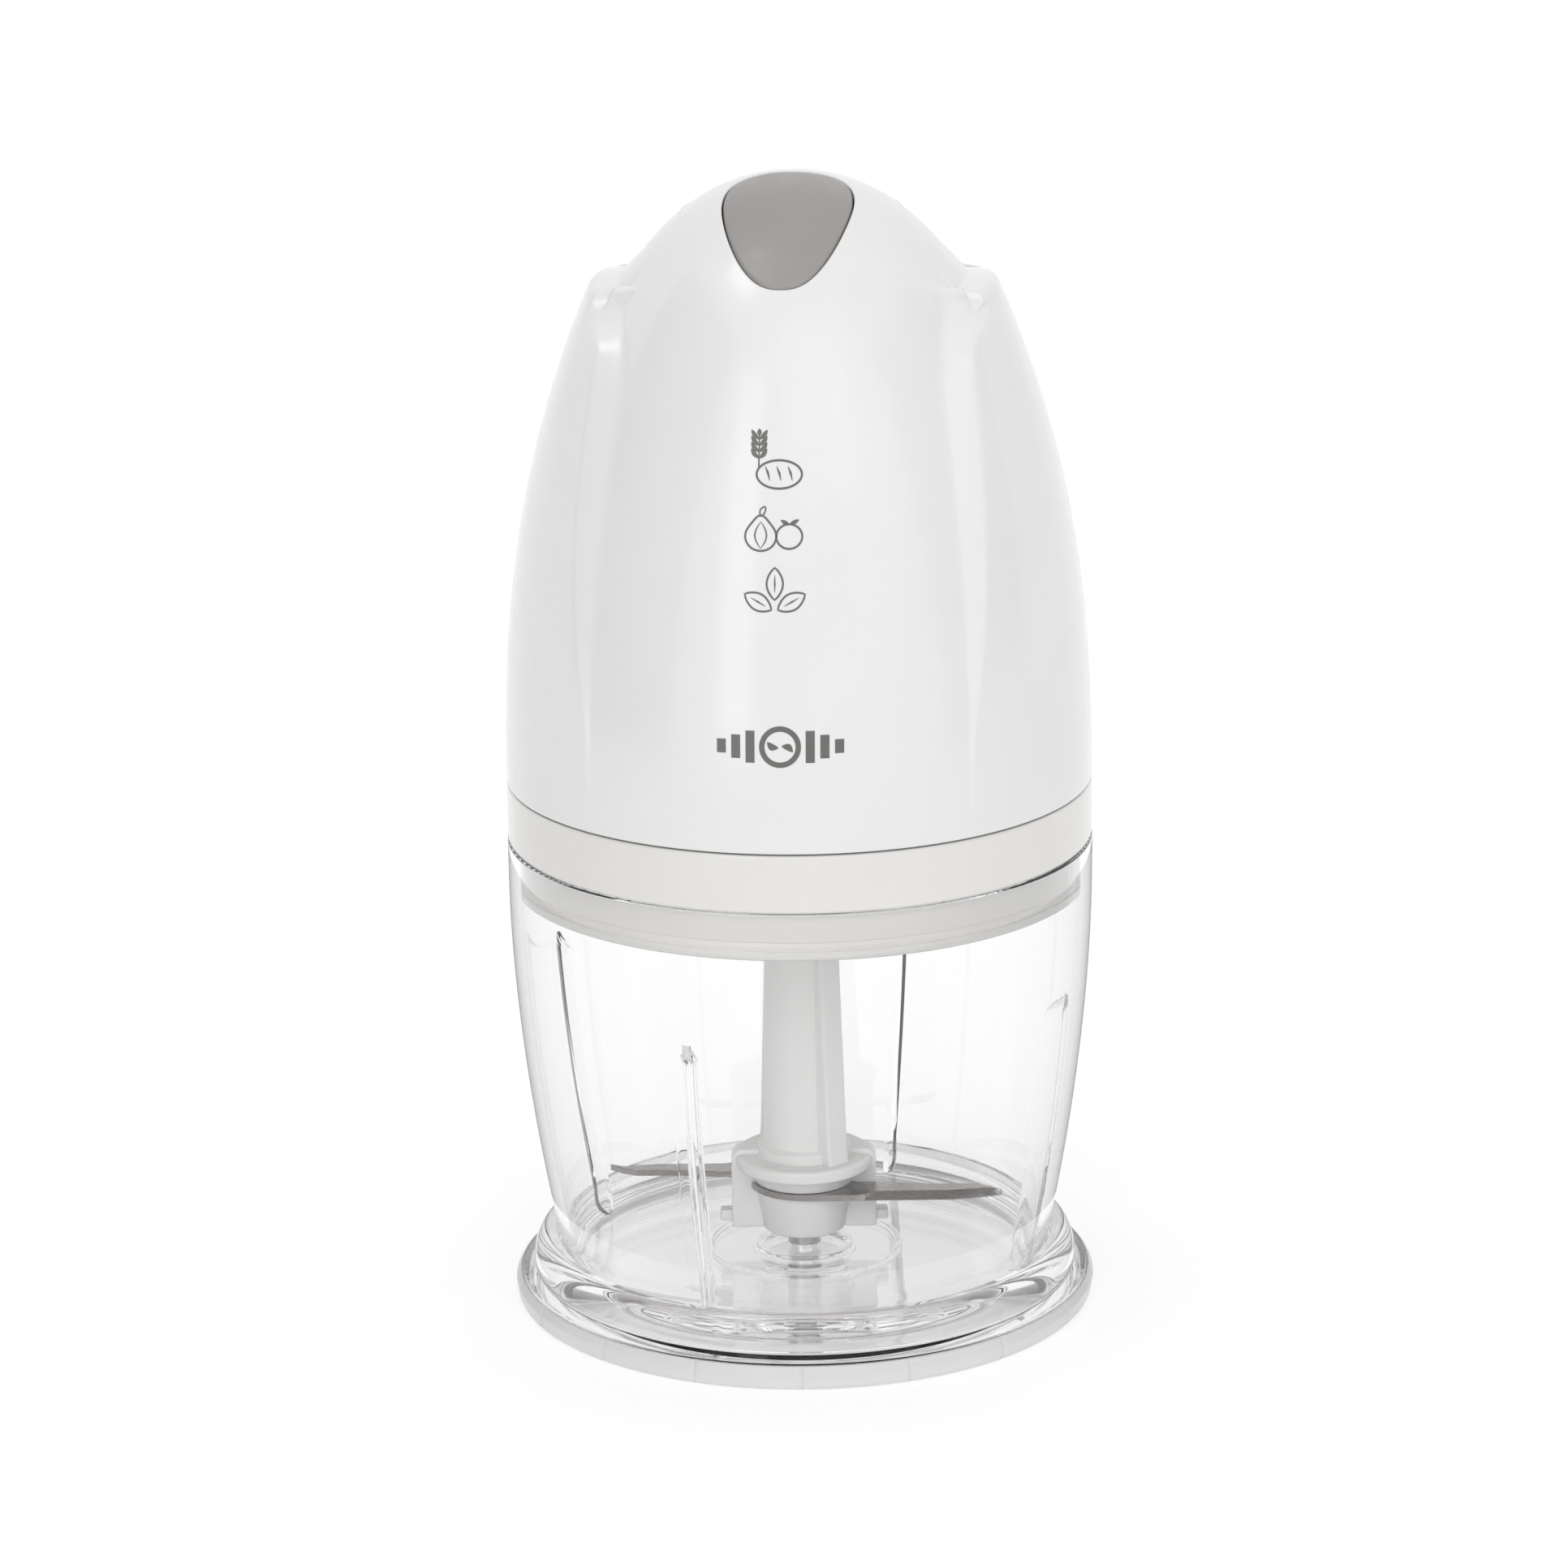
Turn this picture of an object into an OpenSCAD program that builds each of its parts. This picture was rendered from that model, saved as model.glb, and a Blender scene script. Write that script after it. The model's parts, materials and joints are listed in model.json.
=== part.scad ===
// Mini chopper: a motor head on a lidded clear bowl, which stands in a clear anti-slip base.
// Origin: centre of the foot on the worktop. +Z up, front of the head towards -Y.

/* [Base] */
// Largest radius of the anti-slip ring
ring_r = 58.2; // [57.5:0.1:60]
// Height of the anti-slip ring
ring_h = 4.6; // [4.2:0.1:5]
// Radius of the cup in the base that holds the bowl
cup_r = 49.7; // [49.5:0.1:50]
// Height of the cup rim above the worktop
cup_h = 12.9; // [12.4:0.1:13.6]

/* [Bowl] */
// Outer radius of the bowl at its rim
bowl_r = 57.6; // [57:0.1:58]
// Outer radius of the bowl at its foot
bowl_foot_r = 49.1; // [48.6:0.1:49.2]
// Height of the bowl rim above the worktop
rim_z = 95.3; // [94:0.1:96]
// Thickness of the bowl wall
bowl_wall = 2.1; // [1.8:0.1:2.3]
// Height of the bowl floor above the worktop
floor_z = 8.4; // [8:0.1:9]
// Number of ribs inside the bowl
rib_count = 4; // [3:1:5]
// Turn of the first rib from the front, towards +X
rib_turn = -18.6; // [-30:0.1:0]
// Height of the top of the ribs
rib_top = 66.5; // [55:0.5:70]

/* [Blade] */
// Radius of the blade's upright shaft
stem_r = 7.5; // [7:0.1:8]
// Height of the top of the shaft
stem_top = 96.6; // [95:0.1:97]
// Radius of the steel pivot pin in the bowl
pin_r = 3.2; // [3:0.1:3.5]
// Height of the blade's lower face
blade_z = 21.4; // [21:0.1:21.8]
// Reach of the blades from the axis
blade_reach = 40.5; // [37:0.5:42]

/* [Lid] */
// Height of the lower edge of the lid's skirt
skirt_z = 85.8; // [84:0.1:87]
// Height of the top of the lid
lid_top = 106.8; // [105:0.1:106.8]

/* [Head] */
// Height of the lower edge of the housing
head_z = 107.1; // [107:0.1:107.4]
// Height of the top of the dome
dome_top = 226; // [224:1:228]
// Height of the shoulders beside the dome
shoulder_z = 206.4; // [204:0.2:207]
// Wall thickness of the housing
wall = 2.2; // [2:0.1:2.6]

/* [Button] */
// Half the width of the push button
button_half = 12.2; // [11:0.1:13]

/* [Gears] */
// Tooth module of the gear train
gear_module = 0.8; // [0.8]
// Teeth of the sun gear on the motor shaft
sun_teeth = 12; // [12]
// Teeth of each planet gear
planet_teeth = 18; // [18]

/* [Hidden] */

ROUND = 96;
SMALL = 48;
GAP = 0.3;

// Bowl: the outer wall swells from foot to shoulder by one power curve
swell_z0 = 12;
swell_z1 = 87;
swell_steps = 20;
rib_depth = 3.4;
rib_thick = 1.6;
rib_foot = 12;
rib_round = 8;
foot_z = 2.4;
function swell(z) = min(max((z - swell_z0) / (swell_z1 - swell_z0), 0), 1);
function bowl_out(z) = bowl_r - (bowl_r - bowl_foot_r) * pow(1 - swell(z), 1.8);
function bowl_in(z) = bowl_out(z) - bowl_wall;
bowl_heights = [for (i = [0 : swell_steps]) swell_z0 + (swell_z1 - swell_z0) * i / swell_steps];

// Head: a domed core with two cheek pads that stand proud of it
dome_h = dome_top - head_z;
core_foot_r = 57.5;
dome_steps = 22;
function core_r(z) = core_foot_r * pow(1 - pow(min(max((z - head_z) / dome_h, 0), 1), 1.83), 1 / 2.23);
function cheek_r(z) = core_foot_r - 18.9 * pow(max((z - head_z) / (shoulder_z - head_z), 0), 2.36);
// Points are closer together near the top, where the dome turns fastest
function dome_height(i) = head_z + dome_h * sin(90 * i / dome_steps);
cheek_edge_low = 36;
cheek_edge_high = 33.6;

// Screw positions in the bottom cover
cover_screw_r = 50.8;
cover_screw_turns = [45, 135, 225, 315];
cover_screw_shank = 1.25;

// Levels of the bottom cover and gearbox
cover_z = 98.8;
cover_top = 101.2;
lid_floor_z = 95.9;
lid_floor_top = 98.4;
gear_z = 108.4;
gear_h = 7.4;
gear_lap = 0.4;
case_r = 25;
case_top = 118;
flange_r = 29;
flange_screw_r = 26.6;
flange_screw_turns = [30, 150, 270];
flange_h = 3;
floor_h = 2.4;
plate_h = 2.4;

// Gear train
pi_m = PI * gear_module;
ring_teeth = sun_teeth + 2 * planet_teeth;
planet_orbit = gear_module * (sun_teeth + planet_teeth) / 2;
planet_turns = [90, 210, 330];
planet_pin_r = 2;
out_shaft_r = 4;
out_shaft_z = 92;
pressure = 20;
tooth_slack = 0.16;
flank_steps = 4;
addendum = 0.8 * gear_module;
dedendum = 1.1 * gear_module;
function involute(turn) = turn > 0 ? tan(turn) - turn * PI / 180 : 0;
// Half the angle of a tooth at radius r, for a gear of n teeth
function tooth_half(n, r, slack) =
    let (pitch = n * gear_module / 2, base = pitch * cos(pressure))
    (pi_m / 2 - slack) / (2 * pitch) * 180 / PI
    + (involute(pressure) - (r > base ? involute(acos(base / r)) : 0)) * 180 / PI;

// Motor
shaft_r = 3;
shaft_thin_r = 2.5;
shaft_top = 191;
stack_z = 139;
stack_h = 28;
rotor_r = 12.6;
bore_r = 13.2;
slot_count = 12;
coil_w = 6;
coil_reach = 18;
coil_over = 5;
pole_y = 16;
pillar_x = 24.5;
pillar_w = 5;
pillar_d = 12;
motor_screw_r = 1.7;
comm_z = 173.6;
comm_h = 8.6;
comm_r = 7.5;
brush_z = 178;
beam_z = 184;
beam_h = 3;

// Switch under the button
bracket_z = 194;
bracket_h = 2;
switch_y = -12;
switch_h = 10;
lever_pivot_x = -8.5;
lever_pivot_z = bracket_z + bracket_h + switch_h + 0.9;
lever_len = 17.5;
lever_rise = 9;
plunger_x = 6;
spring_y = -21.5;
spring_r = 2.8;
spring_wire = 0.7;
spring_turns = 6;
spring_top = 210.6;
guide_x = 8.5;
guide_y = -5;
guide_r = 1.5;

// Cord inlet at the back
gland_z = 118;
gland_bore = 3.3;
gland_flange = 6.8;
gland_recess = 55.9;

// Solid of revolution between an outer and an inner profile
module shell(outer, inner) {
    rotate_extrude($fn = ROUND) polygon(concat(outer, inner));
}

module ring(r_out, r_in, z, h, fn = ROUND) {
    translate([0, 0, z])
        difference() {
            cylinder(r = r_out, h = h, $fn = fn);
            translate([0, 0, -1]) cylinder(r = r_in, h = h + 2, $fn = fn);
        }
}

module around(count, r = 0, start = 0) {
    for (i = [0 : count - 1]) rotate([0, 0, start + 360 * i / count]) translate([r, 0, 0]) children();
}

module at_turns(turns, r) {
    for (a = turns) rotate([0, 0, a]) translate([r, 0, 0]) children();
}

// ---- Base ----

module base_lid() {
    floor_low = 1;
    cup_floor = 2.2;
    color([0.93, 0.92, 0.91, 0.35])
        rotate_extrude($fn = ROUND)
            polygon([[0, floor_low], [51.6, floor_low], [51.6, 4.2], [52.8, 4.2], [54.8, 3.2], [56.9, 3.2],
                     [56.9, 4.5], [56.5, 4.9], [54.3, 5.6], [54, 5.9], [54.4, 6.3], [54.5, 7.4], [54, 9.4],
                     [53, 11.2], [51.8, 12.5], [50.9, cup_h], [50.1, cup_h], [cup_r, cup_h - 0.4],
                     [cup_r, cup_floor], [0, cup_floor]]);
}

module anti_slip_ring() {
    color([0.8, 0.78, 0.78, 0.7])
        rotate_extrude($fn = ROUND)
            polygon([[54.8, 0], [ring_r - 0.8, 0], [ring_r - 0.2, 0.8], [ring_r, 3.2], [ring_r - 0.4, 4.2],
                     [ring_r - 0.9, ring_h], [56.9, ring_h], [56.9, 3.2], [54.8, 3.2]]);
}

// ---- Bowl ----

module bowl_rib() {
    outer = [for (z = bowl_heights) if (z >= rib_foot && z <= rib_top) [bowl_in(z) + 0.8, z]];
    inner = [for (i = [len(outer) - 1 : -1 : 0])
        let (z = outer[i][1], near_top = min((rib_top - z) / rib_round, 1))
        [bowl_in(z) - rib_depth * sqrt(1 - pow(1 - near_top, 2)), z]];
    translate([0, rib_thick / 2, 0])
        rotate([90, 0, 0])
            linear_extrude(rib_thick)
                polygon(concat([[bowl_in(rib_foot) + 0.8, floor_z - 1]], outer,
                               [[bowl_in(rib_top) + 0.8, rib_top]], inner,
                               [[bowl_in(rib_foot) - rib_depth, floor_z - 1]]));
}

module bowl() {
    floor_under = 6.2;
    boss_r = 9.5;
    ledge_r = 19.6;
    corner = 3;
    outer = concat([[bowl_foot_r - 0.2, foot_z], [bowl_foot_r, foot_z + 0.4]],
                   [for (z = bowl_heights) [bowl_out(z), z]],
                   [[bowl_r, rim_z - 0.5], [bowl_r - 0.5, rim_z], [bowl_r - bowl_wall + 0.3, rim_z]]);
    corner_r = bowl_in(floor_z + corner);
    inner = concat([for (i = [len(bowl_heights) - 1 : -1 : 1])
                        if (bowl_heights[i] > floor_z + corner) [bowl_in(bowl_heights[i]), bowl_heights[i]]],
                   [for (a = [0 : 15 : 90])
                        [corner_r - corner * (1 - cos(a)), floor_z + corner - corner * sin(a)]],
                   [[ledge_r, floor_z], [ledge_r, floor_z + 0.7], [ledge_r - 1.2, floor_z + 0.7],
                    [ledge_r - 1.2, floor_z], [boss_r + 0.4, floor_z], [boss_r, floor_z + 0.9],
                    [pin_r, floor_z + 0.9], [pin_r, foot_z + 1.6], [0, foot_z + 1.6], [0, foot_z],
                    [boss_r - 0.5, foot_z], [boss_r, floor_under], [46.8, floor_under], [46.8, foot_z]]);
    color([0.95, 0.95, 0.95, 0.3]) {
        shell(outer, inner);
        around(rib_count, 0, rib_turn - 90) bowl_rib();
    }
}

module bowl_pin() {
    pin_h = 27;
    color("silver")
        translate([0, 0, foot_z + 1.6]) {
            cylinder(r = pin_r, h = pin_h, $fn = SMALL);
            translate([0, 0, pin_h]) cylinder(r1 = pin_r, r2 = pin_r - 0.8, h = 1, $fn = SMALL);
        }
}

// ---- Blade ----

blade_t = 1.2;
blade_ring_r = 10.8;
blade_core_r = 6.5;
blade_turn = 4.8;
blade_tip_y = -8.4;
lug_in = 8;
lug_out = 14.5;
lug_w = 5;

// One arm: straight along the front of the hub, its tip drawn to a point
module blade_arm() {
    tip_x = sqrt(pow(blade_reach, 2) - pow(blade_tip_y, 2));
    front_y = 0.25 - blade_ring_r;
    polygon([[0, front_y], [tip_x - 10.6, front_y], [tip_x - 5.6, blade_tip_y - 1.7],
             [tip_x, blade_tip_y], [tip_x - 2.6, -6.2], [tip_x - 5.6, -4.7], [tip_x - 12, -4.6],
             [lug_out, -3.3], [lug_in, -3], [0, -3]]);
}

module blade_plate() {
    slack = 0.1;
    color("gainsboro")
        translate([0, 0, blade_z])
            linear_extrude(blade_t)
                difference() {
                    union() {
                        circle(r = blade_ring_r, $fn = SMALL);
                        around(2, 0, blade_turn) blade_arm();
                    }
                    circle(r = blade_core_r, $fn = SMALL);
                    // Notches that the lugs pass through
                    around(2, 0, blade_turn)
                        translate([lug_in - slack, -lug_w / 2 - slack]) square([lug_out, lug_w + 2 * slack]);
                }
}

module blade_lug() {
    low = 12.9;
    top = 29.4;
    corner = 2.4;
    foot_w = 3.2;
    rotate([90, 0, 0])
        translate([0, 0, -lug_w / 2])
            linear_extrude(lug_w)
                polygon(concat([[lug_in, low], [lug_out, low]],
                               [for (a = [0 : 15 : 90])
                                   [lug_out - corner * (1 - cos(a)), top - corner * (1 - sin(a))]],
                               [[lug_in, top]]));
    translate([lug_out - 1, -foot_w / 2, low + 1.1]) cube([3.4, foot_w, 2.2]);
}

module blade_hub() {
    low = 12.5;
    body_r = 10;
    collar_r = 13.8;
    collar_z = 25.7;
    collar_top = 28.4;
    fin_t = 5;
    fin_turn = -51;
    fin_top = 84;
    blade_top = blade_z + blade_t;
    bore_top = 34;
    socket_r = 5;
    socket_z = 85;
    color("white")
        difference() {
            union() {
                rotate_extrude($fn = SMALL)
                    polygon([[0, low], [8.2, low], [body_r, blade_z], [blade_core_r, blade_z],
                             [blade_core_r, blade_top], [body_r, blade_top], [body_r, collar_z],
                             [collar_r - 0.4, collar_z], [collar_r, collar_z + 0.5],
                             [collar_r, collar_top - 0.6], [collar_r - 0.6, collar_top], [9.3, collar_top],
                             [9.3, collar_top + 1.6], [8, collar_top + 2.4], [stem_r, 67],
                             [stem_r, stem_top - 1], [stem_r - 1, stem_top], [0, stem_top]]);
                around(2, 0, blade_turn) blade_lug();
                around(2, 0, blade_turn + fin_turn)
                    rotate([90, 0, 0])
                        translate([0, 0, -fin_t / 2])
                            linear_extrude(fin_t)
                                polygon([[5, 28], [11.6, 28], [11, 31], [8.4, fin_top], [5, fin_top]]);
            }
            // Bore that turns on the pin
            translate([0, 0, low - 1]) cylinder(r = pin_r + 0.06, h = bore_top - low + 1, $fn = SMALL);
            // Hexagonal socket for the drive
            translate([0, 0, socket_z]) cylinder(r = socket_r, h = 20, $fn = 6);
        }
}

// ---- Lid ----

lid_fit_r = bowl_r - bowl_wall - 0.4;

module lid() {
    band_in = 55.3;
    skirt_in = lid_fit_r - 2;
    hole_r = 9.6;
    collar_r = 11.6;
    collar_low = 90;
    groove_z = 87.6;
    groove_h = 1.8;
    color([0.9, 0.89, 0.86])
        rotate_extrude($fn = ROUND)
            polygon([[hole_r, collar_low], [collar_r, collar_low], [collar_r, lid_floor_z],
                     [skirt_in, lid_floor_z], [skirt_in, skirt_z], [lid_fit_r - 0.3, skirt_z],
                     [lid_fit_r, skirt_z + 0.3], [lid_fit_r, groove_z], [lid_fit_r - 1, groove_z],
                     [lid_fit_r - 1, groove_z + groove_h], [lid_fit_r, groove_z + groove_h],
                     [lid_fit_r, lid_floor_z], [core_foot_r - 0.4, lid_floor_z],
                     [core_foot_r, lid_floor_z + 0.4], [core_foot_r, lid_top - 0.3],
                     [core_foot_r - 0.3, lid_top], [band_in, lid_top], [band_in, lid_floor_top],
                     [hole_r, lid_floor_top]]);
}

module lid_seal() {
    color([0.85, 0.85, 0.85])
        rotate_extrude($fn = ROUND)
            polygon([[lid_fit_r - 1, 87.6], [lid_fit_r + 0.05, 87.6], [lid_fit_r + 0.22, 88.5],
                     [lid_fit_r + 0.05, 89.4], [lid_fit_r - 1, 89.4]]);
}

// ---- Head shell ----

// The head's solid form, shrunk inwards by t
module head_form(t) {
    core = [for (i = [0 : dome_steps])
            let (z = dome_height(i))
            [max(core_r(z) - t, 0), z - t * sin(90 * i / dome_steps)]];
    cheek_steps = 12;
    cheek_heights = [for (i = [0 : cheek_steps]) head_z + (shoulder_z - 1.6 - head_z) * i / cheek_steps];
    cheek_corner = cheek_r(shoulder_z - 1.6);
    rotate_extrude($fn = ROUND) polygon(concat([[0, head_z]], core));
    intersection() {
        rotate_extrude($fn = ROUND)
            polygon(concat([[0, head_z]], [for (z = cheek_heights) [cheek_r(z) - t, z]],
                           [[cheek_corner - 0.7 - t, shoulder_z - 0.4 - t / 2],
                            [cheek_corner - 1.8 - t, shoulder_z - t], [0, shoulder_z - t]]));
        for (side = [0, 180])
            rotate([0, 0, side])
                rotate([90, 0, 0])
                    translate([0, 0, -70])
                        linear_extrude(140)
                            polygon([[cheek_edge_low + t, head_z], [70, head_z], [70, shoulder_z],
                                     [cheek_edge_high + t - 4, shoulder_z], [cheek_edge_high + t, 186]]);
    }
}

// Shield-shaped outline of the button, grown by g
button_back = 0.5;
button_wide = -11.5;
button_tip = -30.3;
outline_steps = 10;
function shield_half(y, g) =
    y > button_wide
        ? (button_half + g) * pow(1 - pow((y - button_wide) / (button_back + g - button_wide), 2.5), 0.4)
        : (button_half + g) * pow(1 - pow((button_wide - y) / (button_wide - button_tip + g), 1.6), 0.42);
function shield_y(i, g) =
    let (s = sin(90 * i / outline_steps))
    i >= 0 ? button_wide + (button_back + g - button_wide) * s
           : button_wide + (button_wide - button_tip + g) * s;

module button_outline(g) {
    right = [for (i = [-outline_steps : outline_steps]) let (y = shield_y(i, g)) [shield_half(y, g), y]];
    left = [for (i = [outline_steps - 1 : -1 : 1 - outline_steps])
            let (y = shield_y(i, g))
            [-shield_half(y, g), y]];
    polygon(concat(right, left));
}

module upper_housing() {
    ledge_in = 52.6;
    boss_r = 4.4;
    boss_h = 18;
    vent_count = 5;
    color([0.96, 0.96, 0.96])
        difference() {
            union() {
                difference() {
                    head_form(0);
                    translate([0, 0, -0.01]) head_form(wall);
                }
                ring(core_foot_r - 1, ledge_in, head_z, 2);
                at_turns(cover_screw_turns, cover_screw_r)
                    translate([0, 0, head_z]) cylinder(r = boss_r, h = boss_h, $fn = SMALL);
            }
            // Opening for the button
            translate([0, 0, 195]) linear_extrude(40) button_outline(GAP);
            // Pilot holes for the cover screws
            at_turns(cover_screw_turns, cover_screw_r)
                translate([0, 0, head_z - 1]) cylinder(r = cover_screw_shank + 0.05, h = 13, $fn = SMALL);
            // Cord inlet hole and its recess
            translate([0, 40, gland_z]) rotate([-90, 0, 0]) cylinder(r = 5.2, h = 30, $fn = SMALL);
            translate([0, gland_recess, gland_z])
                rotate([-90, 0, 0]) cylinder(r = gland_flange + 0.3, h = 10, $fn = SMALL);
            // Cooling vents at the back
            for (i = [0 : vent_count - 1])
                translate([-13, 30, 148 + 5.5 * i]) cube([26, 40, 2.4]);
        }
}

module bottom_cover() {
    rim_r = 54.8;
    rim_in = 52.8;
    boss_r = 3.9;
    vent_count = 8;
    color([0.9, 0.89, 0.86])
        difference() {
            union() {
                translate([0, 0, cover_z]) cylinder(r = rim_r, h = cover_top - cover_z, $fn = ROUND);
                ring(rim_r, rim_in, cover_z, head_z - cover_z);
                at_turns(cover_screw_turns, cover_screw_r)
                    translate([0, 0, cover_z]) cylinder(r = boss_r, h = head_z - cover_z, $fn = SMALL);
            }
            // Hole for the gearbox's output bush
            translate([0, 0, cover_z - 1]) cylinder(r = 8, h = 10, $fn = SMALL);
            // Screw holes with sunk seats
            at_turns(cover_screw_turns, cover_screw_r)
                translate([0, 0, cover_z - 1]) {
                    cylinder(r = cover_screw_shank + 0.2, h = 20, $fn = SMALL);
                    cylinder(r = 2.9, h = 3.8, $fn = SMALL);
                }
            // Slots that let cooling air in
            around(vent_count, 40) translate([-6, -1.2, cover_z - 1]) cube([10, 2.4, 10]);
        }
}

module screw(shank_r, shank_h, head_r, head_h) {
    difference() {
        union() {
            cylinder(r = head_r, h = head_h, $fn = SMALL);
            translate([0, 0, head_h]) cylinder(r = shank_r, h = shank_h, $fn = SMALL);
        }
        for (a = [0, 90])
            rotate([0, 0, a]) translate([-head_r * 0.6, -0.3, -1]) cube([head_r * 1.2, 0.6, 1.8]);
    }
}

module cover_screws() {
    color("silver")
        at_turns(cover_screw_turns, cover_screw_r)
            translate([0, 0, cover_z + 0.3]) screw(cover_screw_shank, 14, 2.7, 2.5);
}

module cord_gland() {
    gland_in = 52;
    gland_out = ring_r - 0.1;
    color([0.25, 0.25, 0.26])
        translate([0, 0, gland_z])
            rotate([-90, 0, 0])
                difference() {
                    union() {
                        translate([0, 0, gland_in]) cylinder(r = 5.1, h = gland_out - gland_in, $fn = SMALL);
                        translate([0, 0, gland_recess])
                            cylinder(r = gland_flange, h = gland_out - gland_recess, $fn = SMALL);
                        translate([0, 0, gland_in]) cylinder(r = 6.2, h = 1.6, $fn = SMALL);
                    }
                    cylinder(r = gland_bore, h = 70, $fn = SMALL);
                }
}

// ---- Button and switch ----

module push_button() {
    skirt_low = 203;
    cap_wall = 1.8;
    plunger_low = lever_pivot_z + (plunger_x - lever_pivot_x) * tan(lever_rise) + 0.6;
    color([0.62, 0.61, 0.6]) {
        difference() {
            intersection() {
                head_form(0.15);
                translate([0, 0, skirt_low]) linear_extrude(30) button_outline(0);
            }
            intersection() {
                head_form(0.15 + cap_wall);
                translate([0, 0, skirt_low - 1]) linear_extrude(30) button_outline(-cap_wall);
            }
        }
        intersection() {
            head_form(1);
            union() {
                // Plunger that presses the switch lever
                translate([plunger_x - 1, switch_y - 1.5, plunger_low]) cube([2, 3, 30]);
                // Seat of the return spring
                translate([0, spring_y, spring_top]) cylinder(r = 3.6, h = 30, $fn = SMALL);
                // Guide pins that run in the bracket
                for (x = [-guide_x, guide_x])
                    translate([x, guide_y, bracket_z - 2]) cylinder(r = guide_r, h = 60, $fn = SMALL);
            }
        }
    }
}

// Round wire along a helix, as one closed tube with flat ends
module button_spring() {
    sides = 8;
    per_turn = 16;
    count = spring_turns * per_turn;
    low = bracket_z + bracket_h + spring_wire / 2;
    rise = spring_top - spring_wire / 2 - low;
    points = [for (i = [0 : count]) let (a = 360 * i / per_turn, z = low + rise * i / count)
              for (k = [0 : sides - 1]) let (b = 360 * k / sides, r = spring_r + spring_wire / 2 * cos(b))
              [r * cos(a), r * sin(a), z + spring_wire / 2 * sin(b)]];
    ends = [[for (k = [0 : sides - 1]) k], [for (k = [sides - 1 : -1 : 0]) count * sides + k]];
    skin = [for (i = [0 : count - 1]) for (k = [0 : sides - 1])
            let (n = (k + 1) % sides)
            [i * sides + k, (i + 1) * sides + k, (i + 1) * sides + n, i * sides + n]];
    color("silver") translate([0, spring_y, 0]) polyhedron(points, concat(ends, skin));
}

module switch_bracket() {
    color([0.2, 0.2, 0.22])
        difference() {
            union() {
                translate([-22, -26, bracket_z]) cube([44, 32, bracket_h]);
                for (x = [-18, 18])
                    translate([x - 3, -5, beam_z + beam_h]) cube([6, 10, bracket_z - beam_z - beam_h]);
                // Post inside the return spring
                translate([0, spring_y, bracket_z]) cylinder(r = 1.9, h = 8, $fn = SMALL);
            }
            for (x = [-guide_x, guide_x])
                translate([x, guide_y, bracket_z - 1]) cylinder(r = guide_r + 0.1, h = 5, $fn = SMALL);
            translate([0, 0, bracket_z - 1]) cylinder(r = 4, h = 5, $fn = SMALL);
        }
}

module microswitch() {
    z = bracket_z + bracket_h;
    color([0.1, 0.1, 0.1])
        translate([-10, switch_y - 3.2, z]) cube([20, 6.4, switch_h]);
    color([0.8, 0.2, 0.15])
        translate([2.4, switch_y - 1.2, z + switch_h]) cube([1.6, 2.4, 0.5]);
}

module switch_lever() {
    color("silver")
        translate([lever_pivot_x, switch_y, lever_pivot_z])
            rotate([0, -lever_rise, 0]) {
                translate([0, -2, -0.15]) cube([lever_len, 4, 0.3]);
                rotate([90, 0, 0]) translate([0, 0, -2.6]) cylinder(r = 0.6, h = 5.2, $fn = SMALL);
            }
}

// ---- Gearbox ----

// Outline of one spur gear; a ring gear is cut with the same outline, grown by its slack
module gear_outline(n, slack, tip, root) {
    pitch = n * gear_module / 2;
    base = pitch * cos(pressure);
    low = max(root, base);
    flank = [for (i = [0 : flank_steps]) low + (tip - low) * i / flank_steps];
    pts = [for (k = [0 : n - 1]) let (c = 360 * k / n)
           each concat([[root, c - tooth_half(n, low, slack)]],
                       [for (r = flank) [r, c - tooth_half(n, r, slack)]],
                       [for (i = [flank_steps : -1 : 0]) [flank[i], c + tooth_half(n, flank[i], slack)]],
                       [[root, c + tooth_half(n, low, slack)]])];
    polygon([for (p = pts) [p[0] * cos(p[1]), p[0] * sin(p[1])]]);
}

module spur_gear(n, bore) {
    pitch = n * gear_module / 2;
    translate([0, 0, gear_z])
        difference() {
            linear_extrude(gear_h) gear_outline(n, tooth_slack, pitch + addendum, pitch - dedendum);
            translate([0, 0, -1]) cylinder(r = bore, h = gear_h + 2, $fn = SMALL);
        }
}

module planet_gear(i) {
    // A gap faces the sun when the gear is turned by half a tooth
    color([0.9, 0.88, 0.8])
        rotate([0, 0, planet_turns[i]])
            translate([planet_orbit, 0, 0])
                rotate([0, 0, 180 / planet_teeth]) spur_gear(planet_teeth, planet_pin_r + 0.06);
}

module planet_gear_1() { planet_gear(0); }
module planet_gear_2() { planet_gear(1); }
module planet_gear_3() { planet_gear(2); }

module sun_gear() {
    color("silver") spur_gear(sun_teeth, shaft_thin_r);
}

module ring_gear() {
    pitch = ring_teeth * gear_module / 2;
    outer = case_r - 2.4;
    color([0.9, 0.88, 0.8])
        translate([0, 0, gear_z - gear_lap])
            difference() {
                cylinder(r = outer, h = gear_h + 2 * gear_lap, $fn = ROUND);
                // The tooth gaps are centred between the ring's teeth
                translate([0, 0, -1])
                    rotate([0, 0, 180 / ring_teeth])
                        linear_extrude(gear_h + 4)
                            gear_outline(ring_teeth, -tooth_slack, pitch + dedendum, pitch - addendum);
            }
}

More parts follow.
